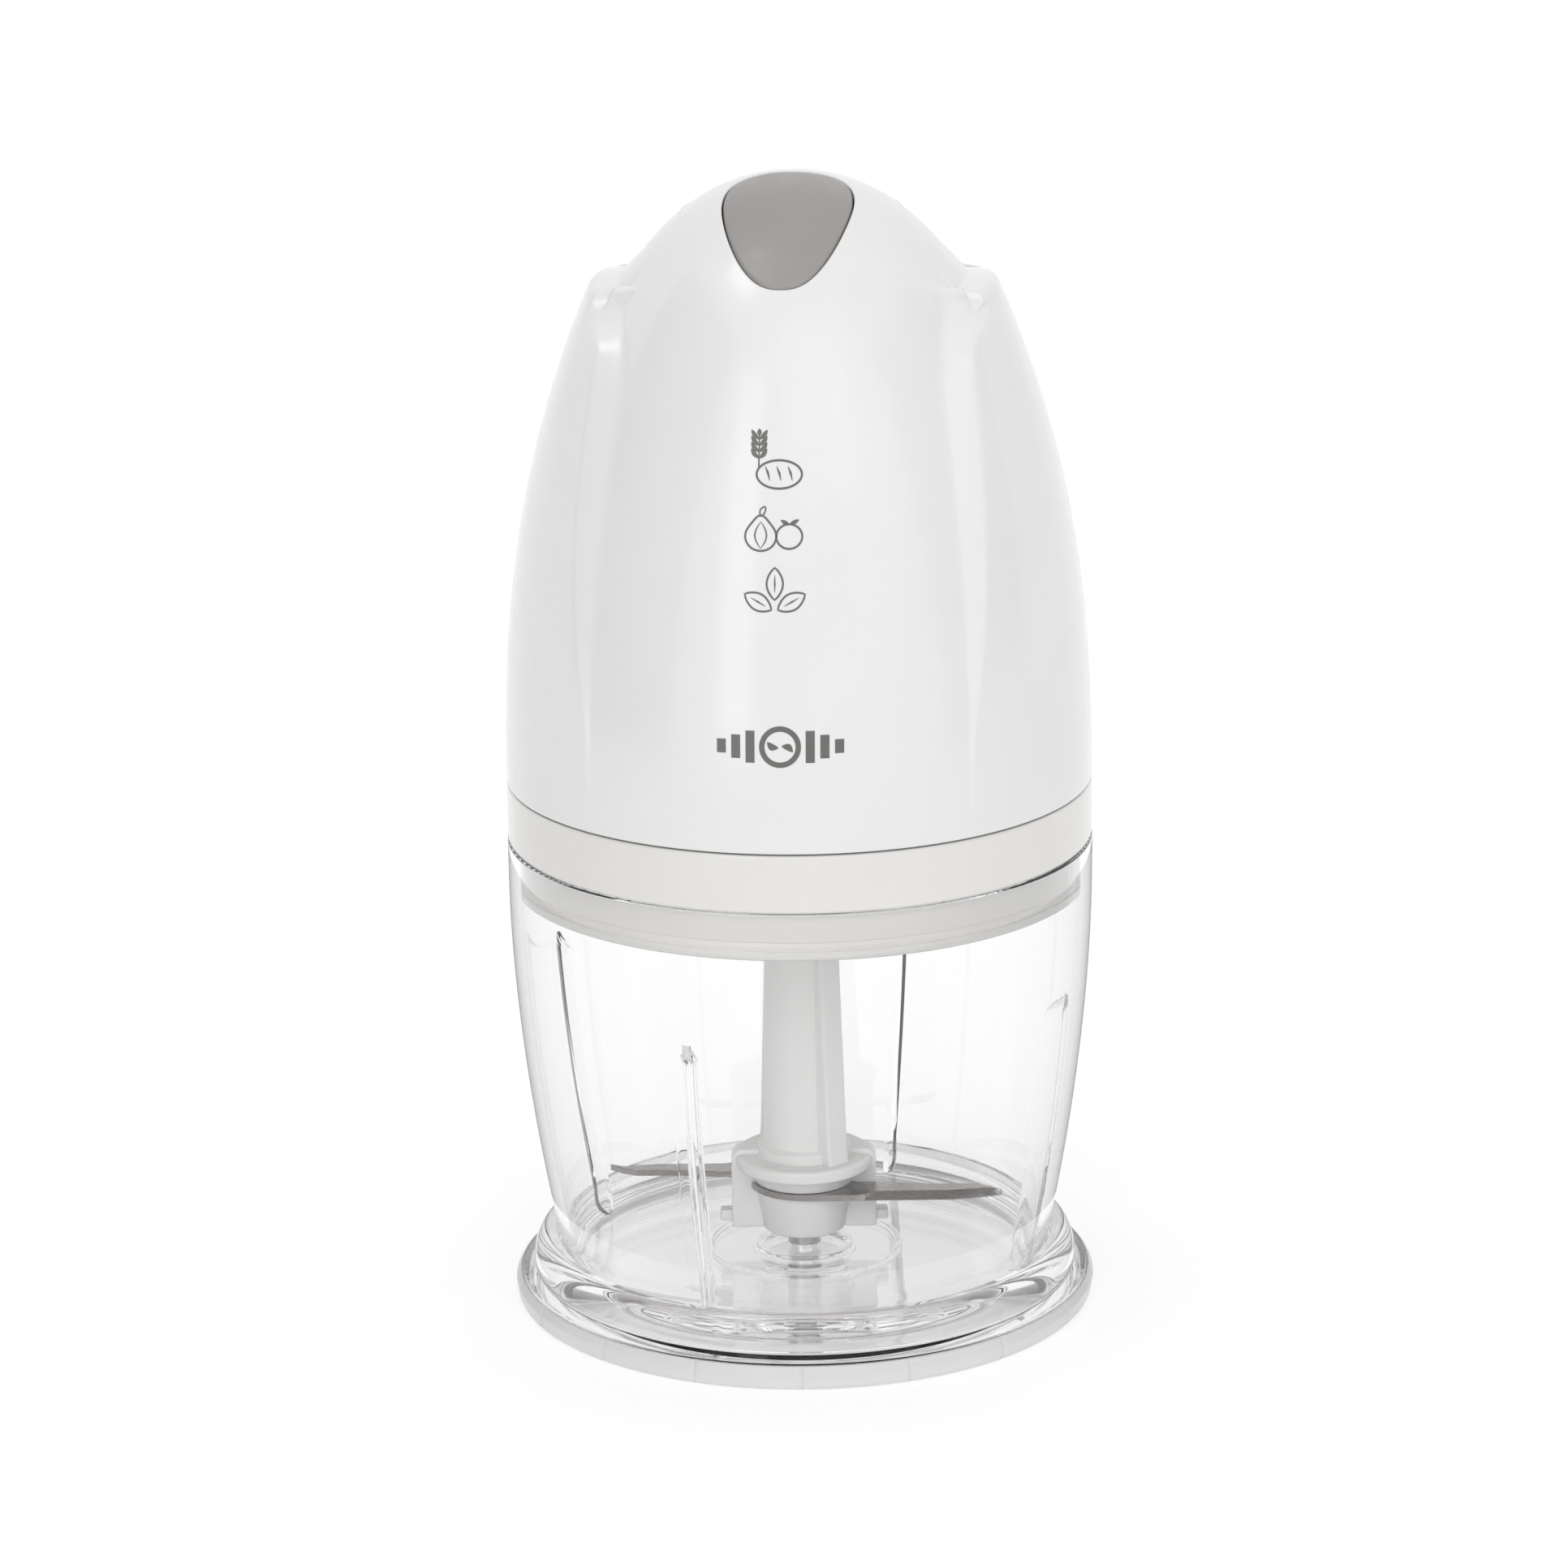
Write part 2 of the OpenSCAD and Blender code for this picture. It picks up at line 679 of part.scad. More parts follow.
module gearbox_case() {
    bush_r = 6.5;
    wall_t = 2.4;
    color([0.75, 0.75, 0.72])
        difference() {
            union() {
                translate([0, 0, cover_top]) cylinder(r = case_r, h = case_top - cover_top, $fn = ROUND);
                translate([0, 0, case_top - flange_h]) cylinder(r = flange_r, h = flange_h, $fn = ROUND);
            }
            translate([0, 0, cover_top + floor_h]) cylinder(r = case_r - wall_t, h = 30, $fn = ROUND);
            translate([0, 0, cover_top - 1]) cylinder(r = bush_r, h = 10, $fn = SMALL);
            at_turns(flange_screw_turns, flange_screw_r)
                translate([0, 0, case_top - 5]) cylinder(r = 1.3, h = 10, $fn = SMALL);
        }
}

module output_bush() {
    color([0.7, 0.55, 0.3])
        difference() {
            union() {
                translate([0, 0, cover_z + 1.4]) cylinder(r = 6.5, h = 5, $fn = SMALL);
                translate([0, 0, cover_top + floor_h]) cylinder(r = 9, h = 1, $fn = SMALL);
            }
            translate([0, 0, cover_z]) cylinder(r = out_shaft_r + 0.05, h = 10, $fn = SMALL);
        }
}

module output_seal() {
    color([0.15, 0.15, 0.15]) ring(7.9, out_shaft_r + 0.1, cover_z + 0.1, 1.2, SMALL);
}

carrier_z = 105.2;
carrier_h = 2.8;

module planet_carrier() {
    disc_r = 17;
    color([0.6, 0.6, 0.62])
        difference() {
            translate([0, 0, carrier_z]) cylinder(r = disc_r, h = carrier_h, $fn = ROUND);
            translate([0, 0, carrier_z - 1]) cylinder(r = out_shaft_r, h = 5, $fn = SMALL);
            at_turns(planet_turns, planet_orbit)
                translate([0, 0, carrier_z - 1]) cylinder(r = planet_pin_r, h = 5, $fn = SMALL);
        }
}

module planet_pins() {
    color("silver")
        at_turns(planet_turns, planet_orbit)
            translate([0, 0, carrier_z]) cylinder(r = planet_pin_r, h = 11.8, $fn = SMALL);
}

module output_shaft() {
    color("silver")
        translate([0, 0, out_shaft_z])
            cylinder(r = out_shaft_r, h = carrier_z + carrier_h - out_shaft_z, $fn = SMALL);
}

module drive_coupling() {
    hex_r = 4.7;
    hex_z = 86;
    color([0.15, 0.15, 0.15])
        difference() {
            translate([0, 0, hex_z]) cylinder(r = hex_r, h = 12.6, $fn = 6);
            translate([0, 0, out_shaft_z]) cylinder(r = out_shaft_r, h = 10, $fn = SMALL);
        }
}

module motor_plate() {
    plate_top = case_top + plate_h;
    color([0.7, 0.71, 0.72])
        difference() {
            union() {
                translate([0, 0, case_top]) cylinder(r = flange_r, h = plate_h, $fn = ROUND);
                for (x = [-pillar_x, pillar_x])
                    translate([x - pillar_w / 2, -pillar_d / 2, plate_top - 1])
                        cube([pillar_w, pillar_d, stack_z - plate_top + 1]);
            }
            translate([0, 0, case_top - 1]) cylinder(r = 7, h = 10, $fn = SMALL);
            at_turns(flange_screw_turns, flange_screw_r)
                translate([0, 0, case_top - 1]) cylinder(r = 1.5, h = 10, $fn = SMALL);
            for (x = [-pillar_x, pillar_x])
                translate([x, 0, stack_z - 12]) cylinder(r = motor_screw_r + 0.05, h = 14, $fn = SMALL);
        }
}

module gearbox_screws() {
    color("silver")
        at_turns(flange_screw_turns, flange_screw_r)
            translate([0, 0, case_top + plate_h + 1.8]) mirror([0, 0, 1]) screw(1.25, 5, 2.2, 1.8);
}

// ---- Motor ----

module motor_shaft() {
    step_z = gear_z + gear_h + 0.6;
    color("silver") {
        translate([0, 0, gear_z + 0.2]) cylinder(r = shaft_thin_r, h = 9, $fn = SMALL);
        translate([0, 0, step_z]) cylinder(r = shaft_r, h = shaft_top - step_z, $fn = SMALL);
    }
}

module fan() {
    fan_z = 124.5;
    fan_r = 20;
    blade_count = 13;
    color([0.2, 0.3, 0.45])
        difference() {
            union() {
                translate([0, 0, fan_z]) cylinder(r = fan_r, h = 1.4, $fn = ROUND);
                translate([0, 0, fan_z]) cylinder(r = 6, h = 9, $fn = SMALL);
                around(blade_count)
                    translate([7.4, 0, fan_z]) rotate([0, 0, 24]) cube([12, 1, 7]);
            }
            translate([0, 0, fan_z - 1]) cylinder(r = shaft_r, h = 12, $fn = SMALL);
        }
}

module rotor_core() {
    color([0.45, 0.46, 0.5])
        translate([0, 0, stack_z])
            difference() {
                cylinder(r = rotor_r, h = stack_h, $fn = ROUND);
                translate([0, 0, -1]) cylinder(r = shaft_r, h = stack_h + 2, $fn = SMALL);
                around(slot_count, 9.8) translate([0, 0, -1]) cylinder(r = 1.7, h = stack_h + 2, $fn = SMALL);
                around(slot_count, 9.8) translate([0, -0.5, -1]) cube([4, 1, stack_h + 2]);
            }
}

module rotor_coils() {
    head_h = 4.6;
    color([0.72, 0.4, 0.2]) {
        around(slot_count, 9.8) translate([0, 0, stack_z - 1]) cylinder(r = 1.6, h = stack_h + 2, $fn = SMALL);
        for (z = [stack_z - head_h, stack_z + stack_h])
            rotate_extrude($fn = ROUND)
                polygon([[4, z + 0.4], [4.6, z], [10.2, z], [11.4, z + 1.2], [11.4, z + head_h - 1.2],
                         [10.2, z + head_h], [4.6, z + head_h], [4, z + head_h - 0.4]]);
    }
}

module commutator() {
    segment_count = 12;
    color([0.8, 0.5, 0.28])
        difference() {
            translate([0, 0, comm_z]) cylinder(r = comm_r, h = comm_h, $fn = ROUND);
            translate([0, 0, comm_z - 1]) cylinder(r = shaft_r, h = comm_h + 2, $fn = SMALL);
            around(segment_count) translate([comm_r - 0.6, -0.2, comm_z - 1]) cube([2, 0.4, comm_h + 2]);
        }
}

module stator_core() {
    core_w = 58;
    core_d = 48;
    corner_r = 33;
    win = coil_w + 0.4;
    color([0.5, 0.51, 0.54])
        translate([0, 0, stack_z])
            difference() {
                linear_extrude(stack_h)
                    intersection() {
                        square([core_w, core_d], center = true);
                        circle(r = corner_r, $fn = ROUND);
                    }
                translate([0, 0, -1]) cylinder(r = bore_r, h = stack_h + 2, $fn = ROUND);
                for (sx = [-1, 1]) for (sy = [-1, 1])
                    translate([sx * (coil_reach - coil_w / 2) - win / 2, sy * pole_y - win / 2, -1])
                        cube([win, win, stack_h + 2]);
                for (x = [-pillar_x, pillar_x])
                    translate([x, 0, -1]) cylinder(r = motor_screw_r + 0.2, h = stack_h + 2, $fn = SMALL);
            }
}

module stator_coils() {
    gap = 0.1;
    color([0.72, 0.4, 0.2])
        for (sy = [-1, 1])
            translate([0, sy * pole_y - coil_w / 2, 0])
                difference() {
                    translate([-coil_reach, 0, stack_z - coil_over])
                        cube([2 * coil_reach, coil_w, stack_h + 2 * coil_over]);
                    translate([coil_w - coil_reach, -1, stack_z - gap])
                        cube([2 * (coil_reach - coil_w), coil_w + 2, stack_h + 2 * gap]);
                }
}

module upper_bracket() {
    half = pillar_x + pillar_w / 2;
    color([0.7, 0.71, 0.72])
        difference() {
            union() {
                translate([-half, -7, beam_z]) cube([2 * half, 14, beam_h]);
                for (x = [-pillar_x, pillar_x])
                    translate([x - pillar_w / 2, -pillar_d / 2, stack_z + stack_h])
                        cube([pillar_w, pillar_d, beam_z - stack_z - stack_h + 1]);
                translate([0, 0, beam_z]) cylinder(r = 7.9, h = 5.2, $fn = SMALL);
            }
            translate([0, 0, beam_z - 1]) cylinder(r = 6, h = 9, $fn = SMALL);
            for (x = [-pillar_x, pillar_x])
                translate([x, 0, stack_z + stack_h - 1])
                    cylinder(r = motor_screw_r + 0.2, h = 30, $fn = SMALL);
        }
}

module lower_bearing() {
    color([0.7, 0.55, 0.3])
        difference() {
            union() {
                translate([0, 0, case_top - 0.8]) cylinder(r = 7, h = plate_h + 2.4, $fn = SMALL);
                translate([0, 0, case_top + plate_h]) cylinder(r = 9, h = 1.6, $fn = SMALL);
            }
            translate([0, 0, case_top - 3]) cylinder(r = shaft_r + 0.04, h = 12, $fn = SMALL);
        }
}

module upper_bearing() {
    color([0.7, 0.55, 0.3]) ring(6, shaft_r + 0.04, beam_z - 0.4, 6, SMALL);
}

module brush_holders() {
    color([0.75, 0.65, 0.35])
        for (side = [0, 180])
            rotate([0, 0, side])
                difference() {
                    translate([9.2, -4, brush_z - 4]) cube([12, 8, 8]);
                    translate([8, -2.6, brush_z - 2.6]) cube([12.2, 5.2, 5.2]);
                }
}

module carbon_brushes() {
    color([0.15, 0.15, 0.16])
        difference() {
            for (side = [0, 180])
                rotate([0, 0, side]) translate([6, -2.5, brush_z - 2.5]) cube([11, 5, 5]);
            translate([0, 0, brush_z - 5]) cylinder(r = comm_r + 0.05, h = 10, $fn = ROUND);
        }
}

module motor_screws() {
    low = stack_z - 10;
    color("silver")
        for (x = [-pillar_x, pillar_x])
            translate([x, 0, beam_z + beam_h + 2]) mirror([0, 0, 1])
                screw(motor_screw_r, beam_z + beam_h - low, 3.2, 2);
}

module suppressor() {
    color([0.75, 0.6, 0.15]) translate([-9, 28, 122]) cube([18, 8, 14]);
}

base_lid();
anti_slip_ring();
bowl();
bowl_pin();
blade_hub();
blade_plate();
lid();
lid_seal();
upper_housing();
bottom_cover();
cover_screws();
cord_gland();
push_button();
button_spring();
switch_bracket();
microswitch();
switch_lever();
gearbox_case();
ring_gear();
output_bush();
output_seal();
motor_plate();
gearbox_screws();
planet_carrier();
planet_pins();
output_shaft();
drive_coupling();
planet_gear_1();
planet_gear_2();
planet_gear_3();
sun_gear();
motor_shaft();
fan();
rotor_core();
rotor_coils();
commutator();
stator_core();
stator_coils();
upper_bracket();
lower_bearing();
upper_bearing();
brush_holders();
carbon_brushes();
motor_screws();
suppressor();
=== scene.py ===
"""Looks of the mini chopper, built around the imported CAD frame. Lengths in the shape code are millimetres."""

import json
import math

import bmesh
import bpy
import numpy as np
from mathutils import Matrix, Vector


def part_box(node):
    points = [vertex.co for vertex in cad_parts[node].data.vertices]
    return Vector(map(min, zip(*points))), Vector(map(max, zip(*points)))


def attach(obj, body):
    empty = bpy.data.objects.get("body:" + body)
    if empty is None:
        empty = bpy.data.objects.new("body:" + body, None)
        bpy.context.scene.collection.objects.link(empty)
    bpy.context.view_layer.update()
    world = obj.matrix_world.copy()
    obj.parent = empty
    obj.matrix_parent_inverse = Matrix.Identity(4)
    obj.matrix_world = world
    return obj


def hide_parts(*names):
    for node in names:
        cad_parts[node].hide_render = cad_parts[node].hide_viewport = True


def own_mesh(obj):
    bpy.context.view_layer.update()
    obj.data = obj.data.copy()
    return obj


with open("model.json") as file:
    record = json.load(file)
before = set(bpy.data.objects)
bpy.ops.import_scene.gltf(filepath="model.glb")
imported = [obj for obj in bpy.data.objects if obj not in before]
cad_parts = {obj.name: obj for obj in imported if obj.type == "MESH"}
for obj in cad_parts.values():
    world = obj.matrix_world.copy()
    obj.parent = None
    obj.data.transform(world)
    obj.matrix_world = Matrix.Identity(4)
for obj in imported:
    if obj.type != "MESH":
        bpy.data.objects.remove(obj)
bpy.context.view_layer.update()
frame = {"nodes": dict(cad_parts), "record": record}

MM = 0.001
TURN = 2 * math.pi


def corners(node):
    """Lowest and highest corner of a CAD node, in millimetres."""
    low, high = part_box(node)
    return low / MM, high / MM


BASE_LOW, BASE_HIGH = corners("base_lid")
RING_HIGH = corners("anti_slip_ring")[1]
BOWL_LOW, BOWL_HIGH = corners("bowl")
LID_LOW, LID_HIGH = corners("lid")
HUB_LOW, HUB_HIGH = corners("blade_hub")
BLADE_LOW, BLADE_HIGH = corners("blade_plate")
HEAD_LOW, HEAD_HIGH = corners("upper_housing")
PIN_LOW, PIN_HIGH = corners("bowl_pin")
BUTTON_LOW = corners("push_button")[0]
SPRING_LOW, SPRING_HIGH = corners("button_spring")

# ---- mesh helpers


def arc_corner(before, corner, after, radius, steps):
    """Points that round one corner of a polyline with an arc."""
    b, c, a = (np.array(p[:2], float) for p in (before, corner, after))
    to_b, to_a = b - c, a - c
    len_b, len_a = np.linalg.norm(to_b), np.linalg.norm(to_a)
    to_b, to_a = to_b / len_b, to_a / len_a
    half = math.acos(max(-1.0, min(1.0, float(to_b @ to_a)))) / 2
    if radius <= 0 or half > math.radians(88):
        return [tuple(c)]
    back = min(radius / math.tan(half), 0.49 * len_b, 0.49 * len_a)
    radius = back * math.tan(half)
    centre = c + (to_b + to_a) / np.linalg.norm(to_b + to_a) * radius / math.sin(half)
    start, end = c + to_b * back - centre, c + to_a * back - centre
    turn = math.pi - 2 * half
    points = []
    for i in range(steps + 1):
        t = i / steps
        w0, w1 = math.sin((1 - t) * turn) / math.sin(turn), math.sin(t * turn) / math.sin(turn)
        points.append(tuple(centre + start * w0 + end * w1))
    return points


def rounded(outline, closed, steps):
    """A polyline of (r, z, corner radius) points with its corners rounded."""
    points = []
    count = len(outline)
    for i, corner in enumerate(outline):
        radius = corner[2] if len(corner) > 2 else 0
        if radius == 0 or (not closed and i in (0, count - 1)):
            points.append(tuple(corner[:2]))
        else:
            points += arc_corner(outline[i - 1], corner, outline[(i + 1) % count], radius, steps)
    return points


def turns(count):
    """Evenly spread angles round a full turn, from the front towards +X."""
    return np.arange(count) * 2 * math.pi / count


def at_angle(radius, angle):
    """X and Y at an angle from the front (-Y) towards +X."""
    return radius * np.sin(angle), -radius * np.cos(angle)


def loop(radius, angle, z):
    """One ring of points."""
    x, y = at_angle(radius, angle)
    return np.stack([x, y, np.broadcast_to(z, x.shape)], axis=1)


def linked(name, data):
    """A new object in the scene."""
    obj = bpy.data.objects.new(name, data)
    bpy.context.scene.collection.objects.link(obj)
    return obj


def mesh_object(name, vertices, faces):
    """A linked mesh object from millimetre vertices."""
    mesh = bpy.data.meshes.new(name)
    mesh.from_pydata((np.array(vertices, float) * MM).tolist(), [], faces)
    mesh.validate()
    bm = bmesh.new()
    bm.from_mesh(mesh)
    bmesh.ops.recalc_face_normals(bm, faces=bm.faces)
    bm.to_mesh(mesh)
    bm.free()
    return linked(name, mesh)


def grid_object(name, loops, wrap=False):
    """Joins rings of equal length into a closed skin. A ring of one point is a pole."""
    vertices, starts, faces = [], [], []
    for ring in loops:
        starts.append(len(vertices))
        vertices += list(ring)
    pairs = list(zip(range(len(loops) - 1), range(1, len(loops))))
    if wrap:
        pairs.append((len(loops) - 1, 0))
    for a, b in pairs:
        na, nb = len(loops[a]), len(loops[b])
        for i in range(max(na, nb)):
            j = (i + 1) % max(na, nb)
            if na == 1:
                faces.append((starts[a], starts[b] + j, starts[b] + i))
            elif nb == 1:
                faces.append((starts[a] + i, starts[a] + j, starts[b]))
            else:
                faces.append((starts[a] + i, starts[a] + j, starts[b] + j, starts[b] + i))
    return mesh_object(name, vertices, faces)


def revolve(name, profile, angles, shift=None):
    """Turns a profile round the axis. shift(i, r, z, angles) gives what to add to a ring's radii."""
    loops = []
    for i, (r, z) in enumerate(profile):
        if r < 1e-6:
            loops.append(np.array([[0, 0, z]]))
        else:
            radius = np.full(len(angles), float(r))
            if shift is not None:
                radius += shift(i, r, z, angles)
            loops.append(loop(radius, angles, z))
    return grid_object(name, loops, wrap=profile[0][0] > 1e-6)


def prism(name, outline, low, high, axis="Z"):
    """A flat outline pulled straight into a solid, along Z, or along Y for an (x, z) outline."""
    count = len(outline)
    vertices = [(x, y, h) if axis == "Z" else (x, h, y) for h in (low, high) for x, y in outline]
    faces = [tuple(range(count)), tuple(range(2 * count - 1, count - 1, -1))]
    faces += [(i, i + count, (i + 1) % count + count, (i + 1) % count) for i in range(count)]
    return mesh_object(name, vertices, faces)


def rod(name, radius, low, high, centre=(0, 0), edge=0.2, segments=48):
    """An upright round bar with softened ends."""
    profile = rounded([(0, low), (radius, low, edge), (radius, high, edge), (0, high)], False, 3)
    obj = revolve(name, profile, turns(segments))
    obj.data.transform(Matrix.Translation(Vector((centre[0], centre[1], 0)) * MM))
    return obj


def bake_modifiers(obj):
    """Applies an object's modifiers to its mesh."""
    graph = bpy.context.evaluated_depsgraph_get()
    mesh = bpy.data.meshes.new_from_object(obj.evaluated_get(graph))
    obj.modifiers.clear()
    old, obj.data = obj.data, mesh
    bpy.data.meshes.remove(old)
    mesh.name = obj.name
    return obj


def bevelled(obj, width):
    """Softens an object's edges."""
    segments, sharp_from = 3, 35
    modifier = obj.modifiers.new("soft_edges", "BEVEL")
    modifier.width = width * MM
    modifier.segments = segments
    modifier.limit_method = "ANGLE"
    modifier.angle_limit = math.radians(sharp_from)
    return bake_modifiers(obj)


def combine(obj, others, operation):
    """Adds or cuts away other solids, and removes them."""
    for other in others:
        modifier = obj.modifiers.new("combine", "BOOLEAN")
        modifier.operation = operation
        modifier.solver = "EXACT"
        modifier.object = other
    bake_modifiers(obj)
    for other in others:
        bpy.data.objects.remove(other)


def smooth(obj, angle=35):
    """Smooth shading, with creases where faces meet sharply."""
    obj.data.shade_smooth()
    obj.data.set_sharp_from_angle(angle=math.radians(angle))
    modifier = obj.modifiers.new("large_faces_lead", "WEIGHTED_NORMAL")
    modifier.weight = 90
    modifier.keep_sharp = True
    bake_modifiers(obj)


def piece(obj, body, slot, replaced, crease=35):
    """Finishes a piece: shading, material, body and slot."""
    smooth(obj, crease)
    obj.data.materials.clear()
    obj.data.materials.append(MATERIALS[slot])
    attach(obj, body)
    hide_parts(replaced)


# ---- materials


class Nodes:
    """Short calls to build one node material."""

    def __init__(self, name):
        self.material = bpy.data.materials.new(name)
        self.material.use_nodes = True
        self.tree = self.material.node_tree
        self.tree.nodes.clear()
        self.output = self.tree.nodes.new("ShaderNodeOutputMaterial")
        self.place = self.tree.nodes.new("ShaderNodeTexCoord").outputs["Object"]

    def new(self, kind, **settings):
        node = self.tree.nodes.new(kind)
        for key, value in settings.items():
            setattr(node, key, value)
        return node

    def link(self, source, target):
        self.tree.links.new(source, target)

    def stretched(self, scale):
        """Object coordinates scaled apart along X, Y and Z."""
        node = self.new("ShaderNodeMapping")
        node.inputs["Scale"].default_value = scale
        self.link(self.place, node.inputs["Vector"])
        return node.outputs["Vector"]

    def noise(self, scale, detail=3, rough=0.5, vector=None):
        node = self.new("ShaderNodeTexNoise")
        node.inputs["Scale"].default_value = scale
        node.inputs["Detail"].default_value = detail
        node.inputs["Roughness"].default_value = rough
        self.link(vector or self.place, node.inputs["Vector"])
        return node.outputs["Fac"]

    def between(self, value, low, high, start=0.3, end=0.7):
        """Maps a noise value to the range low to high."""
        node = self.new("ShaderNodeMapRange")
        for name, number in (("From Min", start), ("From Max", end), ("To Min", low), ("To Max", high)):
            node.inputs[name].default_value = number
        self.link(value, node.inputs["Value"])
        return node.outputs["Result"]

    def blend(self, factor, first, second):
        """Mixes two colours by a value."""
        node = self.new("ShaderNodeMix", data_type="RGBA")
        self.link(factor, node.inputs["Factor"])
        for socket, colour in ((node.inputs["A"], first), (node.inputs["B"], second)):
            if isinstance(colour, tuple):
                socket.default_value = (*colour, 1)
            else:
                self.link(colour, socket)
        return node.outputs["Result"]

    def bump(self, height, depth, strength=1.0):
        """Surface relief of a real depth in millimetres."""
        node = self.new("ShaderNodeBump")
        node.inputs["Strength"].default_value = strength
        node.inputs["Distance"].default_value = depth * MM
        self.link(height, node.inputs["Height"])
        return node.outputs["Normal"]

    def principled(self, **values):
        """The main shader; a value may be a number, a colour or a socket."""
        node = self.new("ShaderNodeBsdfPrincipled")
        for name, value in values.items():
            socket = node.inputs[name.replace("_", " ")]
            if isinstance(value, tuple):
                socket.default_value = (*value, 1)
            elif isinstance(value, (int, float)):
                socket.default_value = value
            else:
                self.link(value, socket)
        self.link(node.outputs["BSDF"], self.output.inputs["Surface"])
        return node


def shade(colour, factor):
    """A colour made darker or lighter."""
    return tuple(min(1.0, c * factor) for c in colour)


def plastic(name, colour, rough, mottle, grain, grain_depth, coat=0.0):
    """Moulded plastic: faint flow marks in the colour, uneven gloss and a fine surface grain."""
    n = Nodes(name)
    flow = n.noise(45, 4, 0.6)
    fine = n.noise(grain, 2, 0.5)
    cloud = n.noise(160, 3)
    tint = n.blend(n.between(flow, 0, 1), shade(colour, 1 - mottle), shade(colour, 1 + mottle))
    n.principled(Base_Color=tint, Roughness=n.between(cloud, rough * 0.8, rough * 1.25),
                 Normal=n.bump(fine, grain_depth), Coat_Weight=coat, Coat_Roughness=0.1)
    return n.material


def clear_plastic(name, colour, rough, index):
    """Clear moulded plastic: lets lamps through, with faint waves and hairline scuffs."""
    n = Nodes(name)
    waves = n.noise(60, 2)
    scuffs = n.noise(500, 3, 0.6, n.stretched((1, 1, 0.12)))
    tint = n.blend(n.between(n.noise(30, 2), 0, 1), shade(colour, 0.99), colour)
    glass = n.principled(Base_Color=tint, Roughness=n.between(scuffs, rough, rough * 3, 0.5, 0.75), IOR=index,
                         Transmission_Weight=1.0, Normal=n.bump(waves, 0.01, 0.25))
    through = n.new("ShaderNodeBsdfTransparent")
    through.inputs["Color"].default_value = (*shade(colour, 0.97), 1)
    rays = n.new("ShaderNodeLightPath")
    mixed = n.new("ShaderNodeMixShader")
    n.link(rays.outputs["Is Shadow Ray"], mixed.inputs["Fac"])
    n.link(glass.outputs["BSDF"], mixed.inputs[1])
    n.link(through.outputs["BSDF"], mixed.inputs[2])
    n.link(mixed.outputs["Shader"], n.output.inputs["Surface"])
    return n.material


def frosted(name, colour, rough):
    """Milky soft plastic that lets some light through."""
    n = Nodes(name)
    cloud = n.noise(60, 2)
    tint = n.blend(n.between(cloud, 0, 1), shade(colour, 0.985), shade(colour, 1.01))
    n.principled(Base_Color=tint, Roughness=n.between(n.noise(110, 2), rough * 0.9, rough * 1.1), IOR=1.45,
                 Transmission_Weight=0.3, Normal=n.bump(n.noise(90), 0.004))
    return n.material


def metal(name, colour, rough, direction, depth, scale=900):
    """Metal with tool or grinding marks that run along the axis with the small scale."""
    n = Nodes(name)
    marks = n.noise(scale, 3, 0.6, n.stretched(direction))
    tint = n.blend(n.between(n.noise(90, 4), 0, 1), shade(colour, 0.9), shade(colour, 1.08))
    n.principled(Base_Color=tint, Metallic=1.0, Roughness=n.between(marks, rough * 0.7, rough * 1.4),
                 Normal=n.bump(marks, depth))
    return n.material


def banded(name, colour, direction, scale, distortion, dark, metallic, cloud, rough, depth, coat=0.0):
    """Metal laid in thin bands: enamelled wire turn by turn, or a stack of steel sheets."""
    n = Nodes(name)
    wave = n.new("ShaderNodeTexWave", wave_type="BANDS", bands_direction=direction)
    wave.inputs["Scale"].default_value = scale
    wave.inputs["Distortion"].default_value = distortion
    n.link(n.place, wave.inputs["Vector"])
    tint = n.blend(wave.outputs["Fac"], shade(colour, dark), colour)
    n.principled(Base_Color=tint, Metallic=metallic, Roughness=n.between(n.noise(cloud), *rough),
                 Normal=n.bump(wave.outputs["Fac"], depth), Coat_Weight=coat)
    return n.material


PLASTICS = {
    "white_gloss": ((0.735, 0.735, 0.73), 0.2, 0.012, 350, 0.004, 0.3),
    "cream_plastic": ((0.70, 0.69, 0.675), 0.21, 0.01, 180, 0.003, 0.3),
    "grey_plastic": ((0.29, 0.278, 0.27), 0.35, 0.03, 800, 0.035),
    "white_plastic": ((0.82, 0.815, 0.81), 0.36, 0.02, 200, 0.004),
    "silicone": ((0.72, 0.70, 0.69), 0.5, 0.03, 500, 0.02),
    "dark_rubber": ((0.035, 0.035, 0.037), 0.6, 0.1, 600, 0.03),
    "black_plastic": ((0.03, 0.03, 0.032), 0.42, 0.1, 800, 0.02),
    "natural_nylon": ((0.68, 0.64, 0.52), 0.4, 0.04, 600, 0.02),
    "fan_plastic": ((0.04, 0.08, 0.16), 0.4, 0.08, 700, 0.02),
    "carbon": ((0.02, 0.02, 0.02), 0.55, 0.2, 1200, 0.04),
    "suppressor_case": ((0.55, 0.36, 0.05), 0.35, 0.04, 500, 0.01),
}
METALS = {
    "blade_steel": ((0.34, 0.325, 0.32), 0.26, (0.15, 1, 1), 0.003),
    "steel": ((0.52, 0.51, 0.51), 0.28, (1, 1, 6), 0.003),
    "bronze": ((0.45, 0.30, 0.14), 0.42, (1, 1, 1), 0.01, 1400),
    "cast_alloy": ((0.5, 0.51, 0.53), 0.45, (1, 1, 1), 0.03, 700),
}
BANDED = {
    "lamination": ((0.24, 0.25, 0.28), "Z", 320, 0.0, 0.6, 0.7, 400, (0.35, 0.55), 0.05),
    "copper": ((0.62, 0.27, 0.11), "DIAGONAL", 420, 0.6, 0.45, 0.8, 300, (0.25, 0.4), 0.15, 0.4),
}
